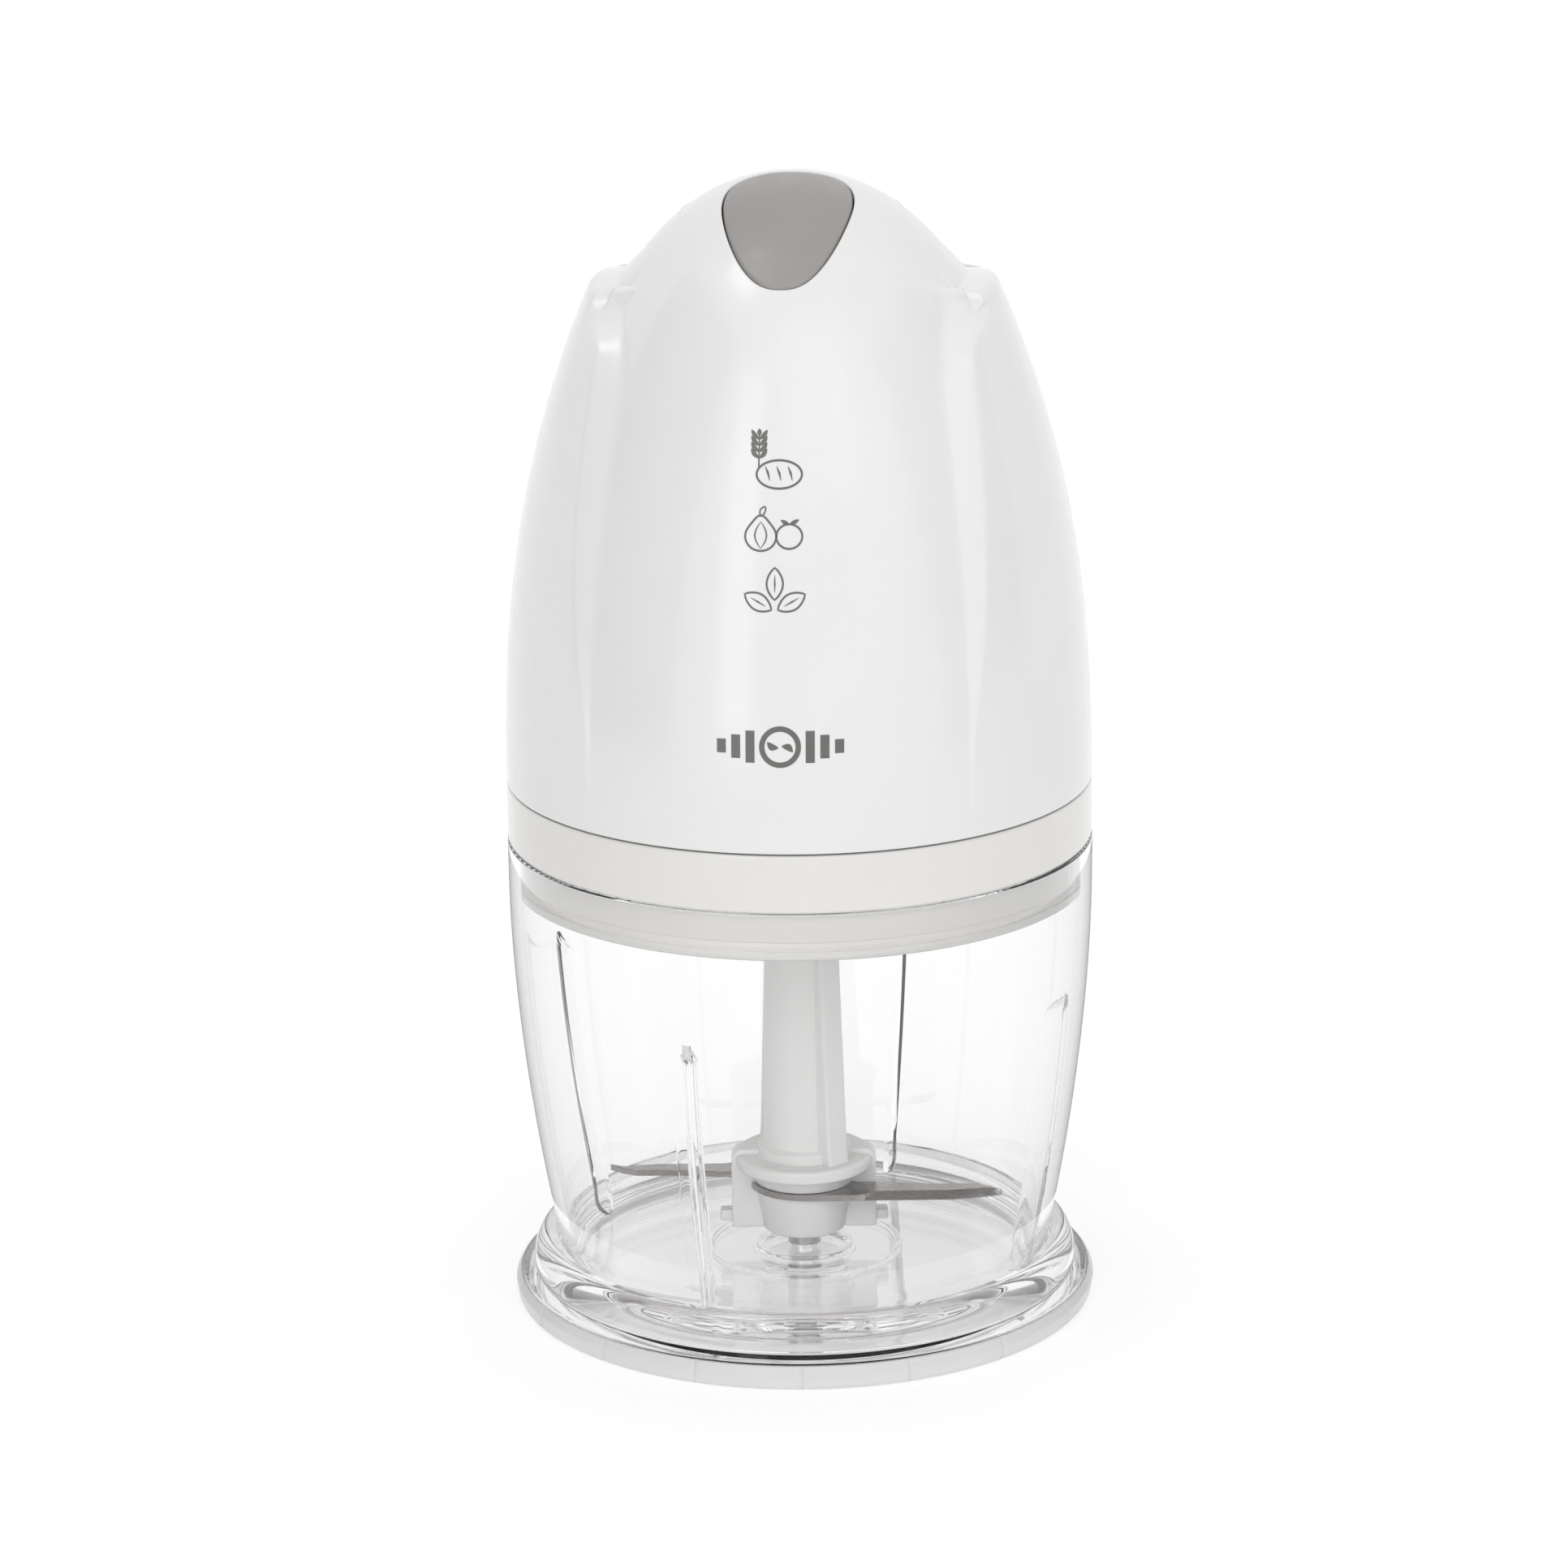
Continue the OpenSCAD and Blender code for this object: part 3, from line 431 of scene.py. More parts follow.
CLEAR = {
    "clear_bowl": ((0.997, 0.997, 0.997), 0.006, 1.5),
    "clear_base": ((0.994, 0.989, 0.988), 0.01, 1.5),
}
MATERIALS = {"grip_ring": frosted("grip_ring", (0.88, 0.87, 0.866), 0.32)}
for make, group in ((plastic, PLASTICS), (metal, METALS), (banded, BANDED), (clear_plastic, CLEAR)):
    MATERIALS.update({name: make(name, *values) for name, values in group.items()})
INK = plastic("printed_ink", (0.125, 0.125, 0.12), 0.32, 0.06, 1600, 0.004)


def finish_cad_nodes():
    """Gives every carried CAD node its own slot's material."""
    for part in frame["record"]["subparts"]:
        node = frame["nodes"][part["node"]]
        for holder in node.material_slots:
            holder.material = MATERIALS[part["material_slot"]]


# ---- base and bowl


def make_base():
    """Clear base: a shallow cup for the bowl in a domed collar."""
    low, top = BASE_LOW.z, BASE_HIGH.z
    cup_r, cup_floor = 49.7, low + 1.2
    dome_r, dome_z, dome_w = 50.5, 7.0, 4.0
    plinth_r, flange_low, flange_high = 54.7, 3.2, 4.8
    dome = [(dome_r + dome_w * math.cos(a), dome_z + (top - dome_z) * math.sin(a))
            for a in np.radians(np.arange(0, 88, 8))]
    lower = [(0, low, 0), (plinth_r, low, 0.3), (plinth_r, flange_low, 0.3), (BASE_HIGH.x, flange_low, 0.2),
             (BASE_HIGH.x, flange_high, 0.7), (54.0, 5.9, 0.5), (54.45, 6.5, 0.4)]
    upper = [(p[0], p[1], 0) for p in dome]
    cup = [(cup_r, top, 0.5), (cup_r, cup_floor, 0.7), (0, cup_floor, 0)]
    profile = rounded(lower + upper + cup, False, 5)
    piece(revolve("base_shell", profile, turns(220)), "base", "clear_base", "base_lid")


NOTCH_COUNT = 17
NOTCH_TURNS = np.radians(4 + 360 / NOTCH_COUNT * np.arange(NOTCH_COUNT)) % TURN


def make_grip_ring():
    """Soft ring under the base, with small upright notches round its outside."""
    outer, top = RING_HIGH.x, RING_HIGH.z
    inner, step_r, step_z = 54.8, 57.0, 3.15
    notch_depth, notch_half = 0.35, math.radians(0.6)
    profile = rounded([(inner, 0, 0.3), (outer - 0.5, 0, 0.6), (outer, 3.0, 0.8), (outer - 0.9, top, 0.5),
                       (step_r, top, 0.2), (step_r, step_z, 0.1), (inner, step_z, 0.2)], True, 5)
    around_notch = np.radians([-0.75, -0.5, -0.25, 0, 0.25, 0.5, 0.75])
    at_notches = np.concatenate([a + around_notch for a in NOTCH_TURNS]) % TURN
    angles = np.unique(np.round(np.concatenate([turns(240), at_notches]), 6))
    angles = spaced(angles, at_notches, 0.004)

    def shift(_, r, __, around):
        if r < step_r + 0.2:
            return 0
        return -notch_depth * sum(np.clip(1 - np.abs(wrapped(around - a)) / notch_half, 0, 1) for a in NOTCH_TURNS)

    piece(revolve("grip_ring", profile, angles, shift), "base", "grip_ring", "anti_slip_ring")


SWELL_LOW, SWELL_HIGH = 12.0, 87.0
BOWL_FOOT_R = 49.1
BOWL_WALL = 2.1
RIB_TOP = 66.5
RIB_DEPTH = 3.4
RIB_ROUND = 1.2
RIB_R = 46.5
RIB_TURNS = np.radians(-18.6 + 90 * np.arange(4)) % TURN
PARTING_TURNS = np.radians([-21.5, 158.5]) % TURN


def bowl_outside(z):
    t = np.clip((z - SWELL_LOW) / (SWELL_HIGH - SWELL_LOW), 0, 1)
    return BOWL_HIGH.x - (BOWL_HIGH.x - BOWL_FOOT_R) * (1 - t) ** 1.8


def rib_share(z):
    """0 at the rib's pointed top, 1 where it has its full depth and width."""
    return min(max((RIB_TOP - z) / RIB_ROUND, 0), 1) ** 0.8


def rib_window(distance):
    """Cross-section of a rib: 1 on its flat tip, 0 beside it."""
    return np.interp(np.abs(distance), [0, 0.42, 0.62, 0.74, 0.8, 0.86, 1.0], [1, 1, 0.97, 0.88, 0.7, 0.12, 0])


def make_bowl():
    """Clear bowl with four upright ribs inside, a ledge ring and a boss for the pin."""
    rim, foot = BOWL_HIGH.z, BOWL_LOW.z
    floor = foot + 6.0
    hole_r = PIN_HIGH.x + 0.08
    hole_floor = PIN_LOW.z - 0.08
    boss_r, boss_h = 9.5, 0.9
    ledge_out, ledge_in, ledge_h = 19.6, 18.4, 0.7
    recess_r, recess_z = 46.8, foot + 3.8
    line_proud, line_half, line_low = 0.05, 0.2, 14
    outside = [(bowl_outside(z), z, 0) for z in np.linspace(SWELL_LOW, SWELL_HIGH, 40)]
    inside = [(p[0] - BOWL_WALL, p[1], 0) for p in reversed(outside[1:])]
    foot_part = [(48.2, foot, 0.4), (BOWL_FOOT_R, foot + 0.5, 0.5)]
    rim_part = [(BOWL_HIGH.x, rim - 0.3, 0.3), (BOWL_HIGH.x - 0.4, rim, 0.3),
                (BOWL_HIGH.x - BOWL_WALL, rim, 0.5)]
    corner = BOWL_FOOT_R - BOWL_WALL
    floor_part = [(corner, floor, 3.2), (ledge_out, floor, 0.3), (ledge_out, floor + ledge_h, 0.3),
                  (ledge_in, floor + ledge_h, 0.3), (ledge_in, floor, 0.3), (boss_r + 0.3, floor, 0.4),
                  (boss_r, floor + boss_h, 0.3), (hole_r, floor + boss_h, 0.3), (hole_r, hole_floor, 0),
                  (0, hole_floor, 0)]
    under_part = [(0, foot, 0), (boss_r - 0.8, foot, 0.6), (boss_r, recess_z, 1.2), (recess_r, recess_z, 0.9),
                  (recess_r, foot, 0.4)]
    profile = rounded(foot_part + outside + rim_part + inside + floor_part, False, 5)
    profile += rounded(under_part, False, 5)
    inner_first = len(rounded(foot_part + outside, False, 5))
    beside = np.array([-1.05, -0.86, -0.8, -0.74, -0.62, -0.42, -0.2, 0, 0.2, 0.42, 0.62, 0.74, 0.8, 0.86, 1.05])
    near_ribs = [a + beside / RIB_R for a in RIB_TURNS]
    near_parting = [a + np.array([-0.25, -0.1, 0, 0.1, 0.25]) / BOWL_HIGH.x for a in PARTING_TURNS]
    angles = np.unique(np.round(np.concatenate([turns(200)] + near_ribs + near_parting) % TURN, 6))
    angles = spaced(angles, np.concatenate(near_ribs + near_parting) % TURN, 0.004)

    def shift(i, r, z, around):
        if abs(r - bowl_outside(z)) < 1e-6 and line_low < z < rim - 1:
            away = [np.abs(wrapped(around - a)) * BOWL_HIGH.x / line_half for a in PARTING_TURNS]
            return line_proud * sum(np.clip(1 - a, 0, 1) for a in away)
        share = rib_share(z)
        tip = bowl_outside(z) - BOWL_WALL - RIB_DEPTH * share
        if i > inner_first and floor < z < RIB_TOP and r > tip:
            width = 0.35 + 0.65 * share
            return (tip - r) * sum(rib_window(wrapped(around - a) * RIB_R / width) for a in RIB_TURNS)
        return 0

    piece(revolve("bowl_shell", profile, angles, shift), "bowl", "clear_bowl", "bowl", 40)


def wrapped(angle):
    """An angle brought to the half turn each way from 0."""
    return (angle + math.pi) % TURN - math.pi


def spaced(angles, keep, least):
    """Drops plain angles that crowd the ones to keep."""
    kept = []
    for a in angles:
        nearest = np.min(np.abs(wrapped(keep - a)))
        if nearest < 1e-5 or nearest > least:
            kept.append(a)
    return np.array(kept)


# ---- blade


BLADE_TURN = math.radians(4.8)
BLADE_CORE_R = 6.5
LUG_IN, LUG_OUT, LUG_WIDTH = 8.0, 14.5, 5.0


def turned(obj, angle):
    """Turns a mesh about the axis."""
    obj.data.transform(Matrix.Rotation(angle, 4, "Z"))
    return obj


def make_hub():
    """White hub: conical foot, collar, tapered stem with fins, and lugs beside the blades."""
    low, top = HUB_LOW.z, HUB_HIGH.z
    body_r, stem_r = 10.0, 7.5
    collar_z, collar_top, collar_r = 25.7, 28.4, 13.8
    bore_r, bore_top = PIN_HIGH.x + 0.06, 34.0
    socket_r, socket_low = 5.0, 85.0
    blade_low, blade_top = BLADE_LOW.z - 0.01, BLADE_HIGH.z + 0.01
    profile = rounded([
        (bore_r, low, 0.2), (8.2, low, 0.6), (body_r, blade_low, 0.25), (BLADE_CORE_R, blade_low, 0),
        (BLADE_CORE_R, blade_top, 0), (body_r, blade_top, 0.2), (body_r, collar_z, 0.5),
        (collar_r, collar_z, 0.7), (collar_r, collar_top, 0.9), (9.4, collar_top, 0.5),
        (9.3, collar_top + 1.7, 0.6), (8, collar_top + 2.4, 0.4), (stem_r, 67, 5), (stem_r, top, 0.8),
        (socket_r + 0.4, top, 0.2), (socket_r - 0.2, top - 0.6, 0), (socket_r - 0.2, socket_low, 0),
        (0, socket_low, 0)], False, 5)
    bore = [(0, bore_top), (bore_r, bore_top)]
    body = revolve("hub", profile + bore, turns(120))
    parts = []
    for half_turn in (0, math.pi):
        parts += [turned(p, BLADE_TURN + half_turn) for p in lug_parts()]
        parts.append(turned(fin_part(), BLADE_TURN + half_turn - math.radians(51)))
    combine(body, parts, "UNION")
    piece(body, "blade", "white_plastic", "blade_hub", 40)


def fin_part():
    """Upright fin that narrows towards the top of the stem."""
    thick = 5.0
    outline = [(5, 28), (11.6, 28), (11, 31), (8.4, 84), (5, 84)]
    return bevelled(prism("fin", outline, -thick / 2, thick / 2, "Y"), 0.6)


def lug_parts():
    """Upright block beside the hub, round at its top corner, and the small foot outside it."""
    low, top, corner = 12.9, 29.4, 2.4
    foot_low, foot_high, foot_half = 14.0, 16.2, 1.6
    shoulder = [(LUG_OUT - corner * (1 - math.cos(a)), top - corner * (1 - math.sin(a)))
                for a in np.radians(np.arange(0, 91, 15))]
    block = prism("lug", [(LUG_IN, low), (LUG_OUT, low)] + shoulder + [(LUG_IN, top)],
                  -LUG_WIDTH / 2, LUG_WIDTH / 2, "Y")
    foot = prism("lug_foot", [(LUG_OUT - 1, foot_low), (LUG_OUT + 2.4, foot_low), (LUG_OUT + 2.4, foot_high),
                              (LUG_OUT - 1, foot_high)], -foot_half, foot_half, "Y")
    return [bevelled(block, 0.45), bevelled(foot, 0.45)]


BLADE_RING_R = 10.8
BLADE_TIP_Y = -8.4
BLADE_TIP_X = math.sqrt(40.5 ** 2 - BLADE_TIP_Y ** 2) - 0.03


def arm_front(x):
    """Cutting edge of the blade."""
    return float(np.interp(x, [0, BLADE_TIP_X - 10.6, BLADE_TIP_X - 5.6, BLADE_TIP_X],
                           [-BLADE_RING_R, -BLADE_RING_R, BLADE_TIP_Y - 1.7, BLADE_TIP_Y]))


def arm_back(x):
    """Blunt back of the blade."""
    return float(np.interp(x, [0, LUG_IN, LUG_OUT, BLADE_TIP_X - 12, BLADE_TIP_X - 5.6, BLADE_TIP_X - 2.6,
                               BLADE_TIP_X], [-3, -3, -3.3, -4.6, -4.7, -6.2, BLADE_TIP_Y]))


def blade_arm(name):
    """One blade: straight along the front of the hub, its edge ground on the upper side."""
    low, high = BLADE_LOW.z, BLADE_HIGH.z
    edge, ground_width, ground_from = 0.12, 2.4, 11.0
    loops = []
    steps = 44
    for i in range(steps + 1):
        x = BLADE_TIP_X * 0.996 * (1 - (1 - i / steps) ** 1.6)
        front, back = arm_front(x), arm_back(x)
        ground = min(ground_width, 0.6 * (back - front)) * min(max((x - ground_from) / 4, 0.02), 1)
        side = min(0.1, 0.2 * (back - front))
        section = [(back, high - side), (back - side, high), (front + ground + 0.001, high)]
        section += [(front + ground * (1 - s), low + edge + (high - low - edge) * (1 - s) ** 1.25)
                    for s in (0.25, 0.5, 0.75, 1.0)]
        section += [(front, low), (back - side, low), (back, low + side)]
        loops.append([(x, a, b) for a, b in section])
    vertices = [v for ring in loops for v in ring]
    n = len(loops[0])
    faces = [(i * n + k, (i + 1) * n + k, (i + 1) * n + (k + 1) % n, i * n + (k + 1) % n)
             for i in range(steps) for k in range(n)]
    faces += [tuple(range(n)), tuple(steps * n + k for k in reversed(range(n)))]
    return mesh_object(name, vertices, faces)


def make_blades():
    """S-shaped steel plate: two blades on one ring, notched where the lugs pass."""
    low, high, slack = BLADE_LOW.z, BLADE_HIGH.z, 0.1
    profile = rounded([(BLADE_CORE_R - 1, low, 0), (BLADE_RING_R - 0.01, low, 0.12),
                       (BLADE_RING_R - 0.01, high, 0.12), (BLADE_CORE_R - 1, high, 0)], True, 3)
    ring = revolve("blades", profile, turns(96))
    arms = [turned(blade_arm("arm"), BLADE_TURN + a) for a in (0, math.pi)]
    combine(ring, arms, "UNION")
    half = LUG_WIDTH / 2 + slack
    notch = [(LUG_IN - slack, -half), (LUG_OUT, -half), (LUG_OUT, half), (LUG_IN - slack, half)]
    cutters = [turned(prism("notch", notch, low - 1, high + 1), BLADE_TURN + a) for a in (0, math.pi)]
    cutters.append(rod("core", BLADE_CORE_R + 0.02, low - 1, high + 1, edge=0, segments=96))
    combine(ring, cutters, "DIFFERENCE")
    piece(ring, "blade", "blade_steel", "blade_plate", 20)


# ---- lid


def make_lid():
    """Cream lid: a band between bowl and head, and a skirt that plugs into the bowl."""
    low, top, outer = LID_LOW.z, LID_HIGH.z, LID_HIGH.x
    disc_low, disc_top = BOWL_HIGH.z + 0.15, 98.4
    fit_r, skirt_in, band_in = 55.38, 53.1, 55.3
    hole_r, collar_r, collar_low = 9.6, 11.6, 90.0
    groove_low, groove_top = 87.6, 89.4
    profile = rounded([
        (hole_r, collar_low, 0.3), (collar_r, collar_low, 0.3), (collar_r, disc_low, 0.6),
        (skirt_in, disc_low, 0.8), (skirt_in, low, 0.3), (fit_r, low, 0.4), (fit_r, groove_low, 0.15),
        (fit_r - 1, groove_low, 0.1), (fit_r - 1, groove_top, 0.1), (fit_r, groove_top, 0.15),
        (fit_r, disc_low, 0.3), (outer, disc_low, 0.6), (outer, top, 0.5), (band_in, top, 0.4),
        (band_in, disc_top, 0.8), (hole_r, disc_top, 0.4)], True, 4)
    piece(revolve("lid_shell", profile, turns(220)), "lid", "cream_plastic", "lid")


# ---- head


HEAD_Z = HEAD_LOW.z
HEAD_R = 57.5
DOME_TOP = HEAD_HIGH.z - 0.02
SHOULDER_Z = 206.4
ARC_Z = SHOULDER_Z - 3.6
WALL = 2.2
DOME_UP, DOME_OUT = 1.83, 2.23


def core_radius(z):
    """Radius of the domed core at height z."""
    t = np.clip((z - HEAD_Z) / (DOME_TOP - HEAD_Z), 0, 1)
    return HEAD_R * (1 - t ** DOME_UP) ** (1 / DOME_OUT)


def dome_height(r):
    """Height of the dome at radius r from the axis."""
    share = np.clip(1 - (np.minimum(r, HEAD_R) / HEAD_R) ** DOME_OUT, 0, 1)
    return HEAD_Z + (DOME_TOP - HEAD_Z) * share ** (1 / DOME_UP)


def cheek_radius(z):
    """Radius of the cheek pads at height z."""
    lean, bend = 18.9, 2.36
    return HEAD_R - lean * (np.maximum(z - HEAD_Z, 0) / (SHOULDER_Z - HEAD_Z)) ** bend


def pad_root(z):
    """How far from the middle plane the pad leaves the core."""
    narrow, widen, start, reach = 29.8, 5.8, 190, 65
    t = min(max((start - z) / reach, 0), 1)
    return narrow + widen * (1 - (1 - t) ** 1.8)


def pad_crest(z):
    """How far from the middle plane the pad's front edge is."""
    across, bulge, low, high, least_step = 36, 3.2, 120, 196, 1.2
    if z > high:
        return across + (z - high) * 0.25
    return max(across + bulge * math.sin(math.pi * max(z - low, 0) / (high - low)), pad_root(z) + least_step)


def soft_ramp(t):
    """0 to 1, with both corners rounded over soft."""
    soft = 0.2
    rise = (t + soft) ** 2 / (4 * soft)
    settle = 1 - (1 + soft - t) ** 2 / (4 * soft)
    return np.select([t < -soft, t < soft, t < 1 - soft, t < 1 + soft], [0, rise, t, settle], 1)


def farthest(low, high, inside):
    """Largest values from low to high that are still inside, by halving."""
    for _ in range(36):
        r = (low + high) / 2
        within = inside(r)
        low, high = np.where(within, r, low), np.where(within, high, r)
    return low


def section_radius(angle, z):
    """Radius of the head's outside at an angle and height, core and cheek pads together."""
    core, cheek = core_radius(z), cheek_radius(z)
    root, crest = pad_root(z), pad_crest(z)
    across, along = np.abs(np.sin(angle)), np.abs(np.cos(angle))

    def inside(r):
        x = r * across
        share = soft_ramp((x - root) / (crest - root))
        depth = ((1 - share) * np.sqrt(np.maximum(core ** 2 - x ** 2, 0))
                 + share * np.sqrt(np.maximum(cheek ** 2 - x ** 2, 0)))
        return r * along < depth

    return farthest(np.full(len(angle), core * 0.98), np.full(len(angle), cheek * 1.02), inside)


FRONT_STEPS, PAD_STEPS, SIDE_STEPS = 44, 14, 14


def head_angles(z):
    """Angles round the head that keep to the pads' edges at height z."""
    core, cheek = core_radius(z), cheek_radius(z)
    root = math.asin(min(pad_root(z) / core, 0.97))
    crest = math.asin(min(pad_crest(z) / cheek, 0.99))
    crest = max(crest, root + 0.01)
    quarter = np.concatenate([np.linspace(0, root, FRONT_STEPS, endpoint=False),
                              np.linspace(root, crest, PAD_STEPS, endpoint=False),
                              np.linspace(crest, math.pi / 2, SIDE_STEPS, endpoint=False)])
    back = math.pi - quarter[1:][::-1]
    half = np.concatenate([quarter, [math.pi / 2], back])
    return np.concatenate([half, half + math.pi])


BUTTON_BACK = 0.5


def shield_half(y, grow):
    """Half the width of the button's shield shape at y, grown by grow."""
    half, back, wide, tip = 12.2, BUTTON_BACK, -11.5, BUTTON_LOW.y
    behind = np.clip((y - wide) / (back + grow - wide), 0, 1)
    before = np.clip((wide - y) / (wide - tip + grow), 0, 1)
    return (half + grow) * np.where(y > wide, (1 - behind ** 2.5) ** 0.4, (1 - before ** 1.6) ** 0.42)


BUTTON_MIDDLE = np.array([0.0, -13.0])


def shield_points(direction, grow):
    """Points of the button's outline in the given directions from its middle."""
    reach = 24.0

    def inside(r):
        x, y = (BUTTON_MIDDLE + direction * r[:, None]).T
        return (np.abs(x) < shield_half(y, grow)) & (y < BUTTON_BACK + grow) & (y > BUTTON_LOW.y - grow)

    r = farthest(np.zeros(len(direction)), np.full(len(direction), reach), inside)
    return BUTTON_MIDDLE + direction * r[:, None]


def dome_loop(plan, below):
    """One ring of points at an outline seen from above, a little below the dome."""
    return np.column_stack([plan, dome_height(np.hypot(*plan.T)) - below])


def shoulder_loops():
    """Rings over the pads' rounded top corner and their top, which falls a little to front and back."""
    front_round, side_round, flat_in, flat_rise = 0.8, 1.8, 33.5, 0.35
    camber, camber_y = 1.5, 15.0
    angles = head_angles(ARC_Z)
    core = float(core_radius(ARC_Z))
    full = float(cheek_radius(ARC_Z)) - core
    share = np.clip((section_radius(angles, ARC_Z) - core) / full, 0, 1)
    side, along = np.abs(np.sin(angles)) * (core + full * share), np.abs(np.cos(angles)) * (core + full * share)
    top = SHOULDER_Z - camber * share * np.minimum((along / camber_y) ** 2, 1)
    crest = pad_crest(ARC_Z)
    corner = np.interp(side, [crest - 0.8, crest + 1.6], [front_round, side_round])
    corner = np.minimum(corner, 0.45 * full * share) + 1e-4
    loops = []
    for below in (2.7, 1.8, 1.35, 0.95, 0.6, 0.33, 0.14, 0.03, 0.0):
        z = top - below * (top - ARC_Z) / (SHOULDER_Z - ARC_Z)
        own = core_radius(z)
        above = np.clip(z - (top - corner), 0, corner)
        inset = corner - np.sqrt(corner ** 2 - above ** 2)
        loops.append(loop(own + (cheek_radius(z) - own) * share - inset, angles, z))
    proud = np.hypot(loops[-1][:, 0], loops[-1][:, 1]) - core_radius(top)
    for t in (0.33, 0.66, 1.0):
        z = top + flat_rise * t
        own = core_radius(z)
        inner = np.minimum(np.maximum(flat_in - own, 0), 0.5 * proud)
        loops.append(loop(own + proud * (1 - t) + inner * t, angles, z))
    return loops, angles


def crown_loops(last, grow, rings):
    """Rings from the shoulder's inner edge to the button's outline, over the dome."""
    fillet = 1.8
    radius = np.hypot(last[:, 0], last[:, 1])
    proud = last[:, 2] - dome_height(radius)
    away = last[:, :2] - BUTTON_MIDDLE
    direction = away / np.linalg.norm(away, axis=1)[:, None]
    edge = shield_points(direction, grow)
    loops = []
    for i in range(1, rings + 1):
        t = (i / rings) ** 1.6
        plan = last[:, :2] * (1 - t) + edge * t
        r = np.hypot(plan[:, 0], plan[:, 1])
        fade = np.clip(1 - np.maximum(radius - r, 0) / fillet, 0, 1) ** 2
        loops.append(np.column_stack([plan, dome_height(r) + proud * fade]))
    return loops, direction


def make_housing():
    """White head shell with cheek pads, shoulders, button opening, vents and cord hole."""
    gap, lip = 0.3, 0.45
    ledge_in, ledge_h = 52.6, 2.0
    bottom_round = 0.4
    loops = []
    for a in np.radians([0, 30, 60, 90]):
        z = HEAD_Z + bottom_round * (1 - math.cos(a))
        angles = head_angles(HEAD_Z + bottom_round)
        loops.append(loop(np.full(len(angles), HEAD_R - bottom_round * (1 - math.sin(a))), angles, z))
    for z in HEAD_Z + 1 + (ARC_Z - HEAD_Z - 1) * np.linspace(0, 1, 70)[:-1]:
        angles = head_angles(z)
        loops.append(loop(section_radius(angles, z), angles, z))
    shoulder, angles = shoulder_loops()
    loops += shoulder
    crown, direction = crown_loops(shoulder[-1], gap + lip, 18)
    loops += crown
    rim_z = crown[-1][:, 2]
    for a in np.radians([30, 60, 90]):
        plan = shield_points(direction, gap + lip * (1 - math.sin(a)))
        loops.append(dome_loop(plan, lip * (1 - math.cos(a))))
    plan = loops[-1][:, :2]
    loops.append(np.column_stack([plan, rim_z - WALL]))
    loops += inner_loops(plan, rim_z - WALL, shoulder[-1])
    inner_low = HEAD_Z + ledge_h
    angles = head_angles(HEAD_Z + bottom_round)
    loops.append(loop(np.full(len(angles), ledge_in), angles, inner_low))
    loops.append(loop(np.full(len(angles), ledge_in), angles, HEAD_Z))
    shell = grid_object("housing_shell", loops, wrap=True)
    cut_openings(shell)
    piece(shell, "head", "white_gloss", "upper_housing", 60)


def inner_loops(opening, opening_z, shoulder):
    """Inside of the shell, from the button opening down to the bottom ledge."""
    inner = shoulder.copy()
    r = np.hypot(inner[:, 0], inner[:, 1])
    inner[:, :2] *= ((r - WALL) / r)[:, None]
    inner[:, 2] = dome_height(r) - 0.6 * WALL
    loops = []
    for t in (0.2, 0.5, 0.8):
        plan = opening * (1 - t) + inner[:, :2] * t
        own = dome_height(np.hypot(*plan.T)) - WALL
        z = opening_z * (1 - t) + own * t
        loops.append(np.column_stack([plan, z]))
    for z in np.linspace(ARC_Z - 2, HEAD_Z + 2, 26):
        angles = head_angles(z)
        loops.append(loop(section_radius(angles, z) - WALL, angles, z))
    return loops


def slot_cutter(low, high, half, y_low, y_high):
    """Round-ended slot cutter along Y."""
    radius = (high - low) / 2
    middle = (high + low) / 2
    ends = np.radians(np.arange(-90, 91, 15))
    right = [(half - radius + radius * math.cos(a), middle + radius * math.sin(a)) for a in ends]
    left = [(-x, 2 * middle - z) for x, z in right]
    return prism("slot", right + left, y_low, y_high, "Y")


def cut_openings(shell):
    """Cooling slots and the cord gland's hole at the back."""
    count, low, pitch, width, half_length = 5, 148, 5.5, 2.4, 13
    inside, outside = 30, 70
    hole_r, hole_z = 7.1, 118
    slots = [slot_cutter(low + pitch * i, low + pitch * i + width, half_length, inside, outside)
             for i in range(count)]
    hole = rod("hole", hole_r, inside + 10, outside, edge=0)
    hole.data.transform(Matrix.Translation((0, 0, hole_z * MM)) @ Matrix.Rotation(math.radians(-90), 4, "X"))
    combine(shell, slots + [hole], "DIFFERENCE")


